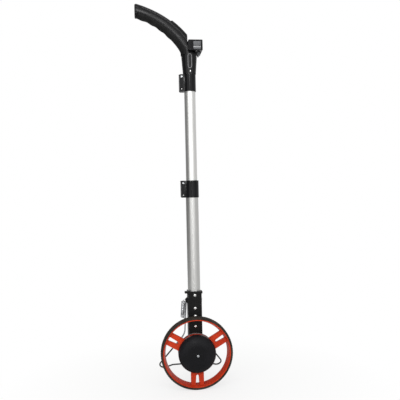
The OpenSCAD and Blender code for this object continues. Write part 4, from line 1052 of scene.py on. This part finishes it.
def headed_pin(x, z, face, end, shank_r, head_r, head_h, cross, tail_r=0.0, tail_h=0.0):
    """Domed head in front of a face, shank to the end, and a second dome there for a rivet."""
    a = np.linspace(dome_tip, math.pi / 2, 14)
    head = np.stack([head_r * np.sin(a), face - head_h * np.cos(a)], 1)
    tail = [[point_share * shank_r, end + point_l]]
    if tail_r:
        tail = np.stack([tail_r * np.sin(a[::-1]), end + tail_h * np.cos(a[::-1])], 1)
    return lathe(np.concatenate([head, [[shank_r, face], [shank_r, end]], tail]), x, z, cross=cross)


bracket_face, bracket_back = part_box("hub_shield")[1].y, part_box("bracket_nuts")[0].y
bracket_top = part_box("bracket_front")[1].z
screw_drops = [0.0082, 0.0372, 0.0547, 0.0776]
screw_end = bracket_back + 0.0045
screw_sizes = {"shank_r": 0.002, "head_r": 0.0035, "head_h": 0.0024, "cross": 0.0004}
heads = [
    headed_pin(0, bracket_top - drop, bracket_face, screw_end, **screw_sizes) for drop in screw_drops
]
add_piece("bracket_screw_set", heads, "mast_lower", bright_plate, ["bracket_screws"])

clamp_sets = {"middle": "mast_lower", "top": "mast_middle"}
cheek_out = 0.0086
rivet_sizes = {"shank_r": 0.0010, "head_r": 0.0012, "head_h": 0.0008, "tail_r": 0.0012, "tail_h": 0.0008}
for level, body in clamp_sets.items():
    low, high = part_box(f"{level}_clamp_pin")
    mid_x, mid_z = (low.x + high.x) / 2, (low.z + high.z) / 2
    pin = headed_pin(mid_x, mid_z, mast_y - cheek_out, mast_y + cheek_out, cross=0, **rivet_sizes)
    add_piece(f"{level}_clamp_rivet", [pin], body, bright_plate, [f"{level}_clamp_pin"])

# %% [markdown]
# ## Grip end cap
# The grip ends in a dark cap with a rounded rim. A bevel on the solid would follow its many short
# edges. Here the outline is the grip's own section, and rings of that outline shrink towards the
# outside along a quarter circle.

# %% Grip end cap
cap_low, cap_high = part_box("grip_end_cap")
cap_x = path_spot(grip_end)[0]
cap_mid_z = (cap_low.z + cap_high.z) / 2
cap_half_y, cap_half_z = (cap_high.y - cap_low.y) / 2, (cap_high.z - cap_low.z) / 2
cap_round, cap_t, cap_back_in, cap_face_in = 0.003, 0.0042, 0.004, (0.006, 0.010)
turn = full_turn(96)[None, :]
a = np.linspace(0, math.pi / 2, 10)
inset = np.concatenate([[cap_back_in, 0.0], cap_round * (1 - np.cos(a)), cap_face_in])[:, None]
offset = np.concatenate([[0.0, 0.0], cap_t - cap_round * (1 - np.sin(a)), [cap_t, cap_t]])[:, None]
ring_y, ring_z = rounded_power(np.cos(turn)), rounded_power(np.sin(turn))
cap_rings = np.stack(np.broadcast_arrays(
    cap_x - offset, mast_y + (cap_half_y - inset) * ring_y, cap_mid_z + (cap_half_z - inset) * ring_z,
), -1)
add_piece("grip_end_round", [rings_shell(cap_rings)], "handle", satin_black, ["grip_end_cap"])

# %% [markdown]
# ## Softened edges
# Housings, clamps and keys are right as solids except for their knife-sharp edges. Drawing them anew
# would only repeat their sizes. So a copy of each mesh, which keeps its finish, is merged, its flat
# triangles are joined, and a Bevel modifier rounds the edges that remain.

# %% Softened copies
merge_gap, flat_within, bevel_from = 1e-6, math.radians(0.5), math.radians(40)
soft_edges = [
    ("bracket_front", "mast_lower", "black_plastic", 0.0010),
    ("bracket_rear", "mast_lower", "black_plastic", 0.0008),
    ("hub_shield", "mast_lower", "black_matte", 0.0005),
    ("axle", "mast_lower", "bright_steel", 0.0005),
    ("middle_collar", "mast_lower", "black_plastic", 0.0007),
    ("top_collar", "mast_middle", "black_plastic", 0.0007),
    ("middle_lever", "middle_clamp_lever", "black_plastic", 0.0004),
    ("top_lever", "top_clamp_lever", "black_plastic", 0.0004),
    ("display_housing", "handle", "black_matte", 0.0006),
    ("display_bezel", "handle", "black_plastic", 0.0006),
    ("trigger", "trigger", "trigger_grey", 0.0010),
    ("battery_door", "door", "black_matte", 0.0002),
    ("button_left", "key_left", "black_matte", 0.0006),
    ("button_middle", "key_middle", "black_matte", 0.0006),
    ("button_right", "key_right", "black_matte", 0.0006),
]


def softened(name, body, slot, width):
    """A merged copy of a solid's mesh with its sharp edges rounded to that width."""
    mesh = frame["nodes"][name].data.copy()
    work = bmesh.new()
    work.from_mesh(mesh)
    bmesh.ops.remove_doubles(work, verts=work.verts, dist=merge_gap)
    bmesh.ops.dissolve_limit(work, angle_limit=flat_within, verts=work.verts, edges=work.edges)
    work.to_mesh(mesh)
    work.free()
    mesh.shade_smooth()
    mesh.set_sharp_from_angle(angle=sharp_from)
    piece = into_scene(name + "_soft", mesh)
    edges = piece.modifiers.new("edges", "BEVEL")
    edges.width, edges.segments, edges.limit_method = width, 2, "ANGLE"
    edges.angle_limit, edges.use_clamp_overlap = bevel_from, True
    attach(piece, body)
    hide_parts(name)


for entry in soft_edges:
    softened(*entry)
print("softened", len(soft_edges), "solids")

# %% [markdown]
# ## Display digits
# Under the lens the display shows a plain reading. A text object could write it, but a display of
# this kind has digits of seven straight bars. Each bar is a thin six-sided plate, so a digit is only
# a list of the bars that are lit.

# %% Display digits
lcd_low, lcd_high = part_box("lcd_module")
digit_w, digit_h, bar_half, bar_rise, bar_sunk = 0.0042, 0.0078, 0.0005, 0.00012, 0.0001
digit_step, bar_gap = 1.55 * digit_w, 1.25 * bar_half
lit_bars = {"0": "abcdef", "1": "bc", "2": "abged", "5": "afgcd"}
bar_ends = {
    "a": ((0, 2), (1, 2)), "b": ((1, 1), (1, 2)), "c": ((1, 0), (1, 1)), "d": ((0, 0), (1, 0)),
    "e": ((0, 0), (0, 1)), "f": ((0, 1), (0, 2)), "g": ((0, 1), (1, 1)),
}
lcd_ink = moulded("lcd_ink", shade(22, 26, 24), shade(32, 36, 33), 0.4, 2400, 1e-5, 0.3)


def digit_bar(start, stop):
    """A thin plate along a line, pointed at both ends, lying on the display."""
    way = (stop - start) / np.linalg.norm(stop - start)
    start, stop = start + way * bar_gap, stop - way * bar_gap
    tip, side = way * bar_half, np.array([-way[1], way[0]]) * bar_half
    flat = np.array([start - tip, start + side, stop + side, stop + tip, stop - side, start - side])
    levels = np.array([lcd_high.z - bar_sunk, lcd_high.z + bar_rise])[:, None]
    return rings_shell(np.stack(np.broadcast_arrays(flat[:, 0], flat[:, 1], levels), -1))


reading = "0125"
first_y = mast_y + digit_step * (len(reading) - 1) / 2 + digit_w / 2
base_x = (lcd_low.x + lcd_high.x) / 2 - digit_h / 2
bars = []
for place, figure in enumerate(reading):
    left = first_y - place * digit_step
    for bar in lit_bars[figure]:
        ends = [np.array([base_x + v * digit_h / 2, left - u * digit_w]) for u, v in bar_ends[bar]]
        bars.append(digit_bar(*ends))
add_piece("lcd_digits", bars, "handle", lcd_ink)

# %% [markdown]
# ## Room and floor
# A pale floor fades into a white room, so that no line shows where they meet. A bright lamp on a
# backdrop could give that white, but its light would fall on the tool as well. Here the room lights
# the tool softly, and only what the camera, mirrors and glass see of it is plain white.

# %% Room and floor
def seen_directly(tree):
    """1 for rays from the camera, from gloss and through glass, 0 for the light that lands on things."""
    ray = add_node(tree, "ShaderNodeLightPath").outputs
    seen = ray["Is Camera Ray"]
    for other in ("Is Glossy Ray", "Is Transmission Ray"):
        seen = add_node(tree, "ShaderNodeMath", {0: seen, 1: ray[other]}, operation="MAXIMUM").outputs[0]
    return seen


room_light, room_white = 0.55, (1, 1, 1, 1)
room = bpy.data.worlds.new("room")
room.use_nodes = True
bpy.context.scene.world = room
tree = room.node_tree
lit = tree.nodes["Background"]
lit.inputs["Color"].default_value = room_white
lit.inputs["Strength"].default_value = room_light
shown = add_node(tree, "ShaderNodeBackground", {"Color": room_white, "Strength": 1.0})
both = add_node(tree, "ShaderNodeMixShader", {0: seen_directly(tree), 1: lit.outputs[0], 2: shown.outputs[0]})
tree.links.new(both.outputs[0], tree.nodes["World Output"].inputs["Surface"])

floor_half, fade_from, fade_to = 9.0, -1.0, 0.45
floor_corners = [(x * floor_half, y * floor_half, 0) for x, y in ((-1, -1), (1, -1), (1, 1), (-1, 1))]
floor_mesh = bpy.data.meshes.new("floor")
floor_mesh.from_pydata(floor_corners, [], [(0, 1, 2, 3)])
floor = into_scene("floor", floor_mesh)
floor_paper, tree, paper = start_finish("floor_paper")
plug(tree, paper, Base_Color=shade(244, 244, 243), Roughness=0.9, Specular_IOR_Level=0.0)
away = add_node(tree, "ShaderNodeVectorMath", {0: place_of(tree)}, operation="LENGTH").outputs["Value"]
whitened = spread(tree, away, 0, 1, fade_from, fade_to)
fade = add_node(tree, "ShaderNodeMath", {0: whitened, 1: seen_directly(tree)}, operation="MULTIPLY")
white = add_node(tree, "ShaderNodeEmission", {"Color": room_white, "Strength": 1.0})
blend = add_node(tree, "ShaderNodeMixShader", {0: fade.outputs[0], 1: paper.outputs[0], 2: white.outputs[0]})
tree.links.new(blend.outputs[0], tree.nodes["Material Output"].inputs["Surface"])
wear(floor, floor_paper)
bpy.context.scene.view_settings.view_transform = "Standard"
print("room and floor ready")

# %% [markdown]
# ## Lamps
# Soft boxes stand for the studio's lamps: two wide ones in front, a narrow strip that draws a line
# of light down round pieces, one for the grip and one from above. Point lamps would give hard
# shadows and small glints. Each row gives a bearing, a height, the box's two sides and its power.

# %% Lamps
lamp_far, lamp_z, lamp_target = 2.2, 1.05, (0, 0, 0.42)
soft_boxes = {
    "left_box": (-36, lamp_z, 2.0, 2.4, 16),
    "right_box": (16, lamp_z, 2.0, 2.4, 16),
    "strip_box": (-2, 0.7, 0.06, 1.7, 3.8),
    "grip_box": (-8, 1.4, 0.6, 0.5, 9),
    "top_box": (-8, 3.4, 1.6, 0.4, 16),
}


def aim(place, target):
    """The matrix of a lamp that shines along its own -Z from place towards target."""
    back = place - np.array(target)
    back /= np.linalg.norm(back)
    right = np.cross([0, 0, 1], back)
    right /= np.linalg.norm(right)
    return stood_at(place, [right, np.cross(back, right), back])


for name, (bearing, height, wide, tall, watts) in soft_boxes.items():
    lamp = bpy.data.lights.new(name, "AREA")
    lamp.shape = "RECTANGLE"
    lamp.size, lamp.size_y, lamp.energy = wide, tall, watts
    holder = into_scene(name, lamp)
    holder.matrix_world = aim(round_the_tool(bearing, lamp_far, height), lamp_target)
    holder.visible_camera = False
print("lamps:", list(soft_boxes))

# %% [markdown]
# ## Side cards
# Round metal mirrors what stands beside it, so a photographer sets cards there. A darker metal could
# imitate the dark edge, but it would look wrong from other sides. The left card is grey, the right
# one as white as the room, and only mirrors see them. Each row gives two bearings and a tone.

# %% Side cards
cards = {"left_card": (-53, -168, 0.34), "right_card": (48, 165, 1.0)}
card_far, card_low, card_top, card_steps = 1.25, -0.2, 2.6, 25
for name, (start, stop, tone) in cards.items():
    bearing = np.radians(np.linspace(start, stop, card_steps))[:, None]
    height = np.array([[card_low, card_top]])
    sheet = np.stack(np.broadcast_arrays(card_far * np.sin(bearing), -card_far * np.cos(bearing), height), -1)
    mesh = bpy.data.meshes.new(name)
    mesh.from_pydata(sheet.reshape(-1, 3).tolist(), [], grid_quads(card_steps, 2).tolist())
    card = into_scene(name, mesh)
    card_paint, tree, _ = start_finish(name + "_paint")
    glow = add_node(tree, "ShaderNodeEmission", {"Color": (tone, tone, tone, 1), "Strength": 1.0})
    tree.links.new(glow.outputs[0], tree.nodes["Material Output"].inputs["Surface"])
    wear(card, card_paint)
    card.visible_camera = card.visible_diffuse = card.visible_shadow = card.visible_transmission = False
print("cards:", list(cards))
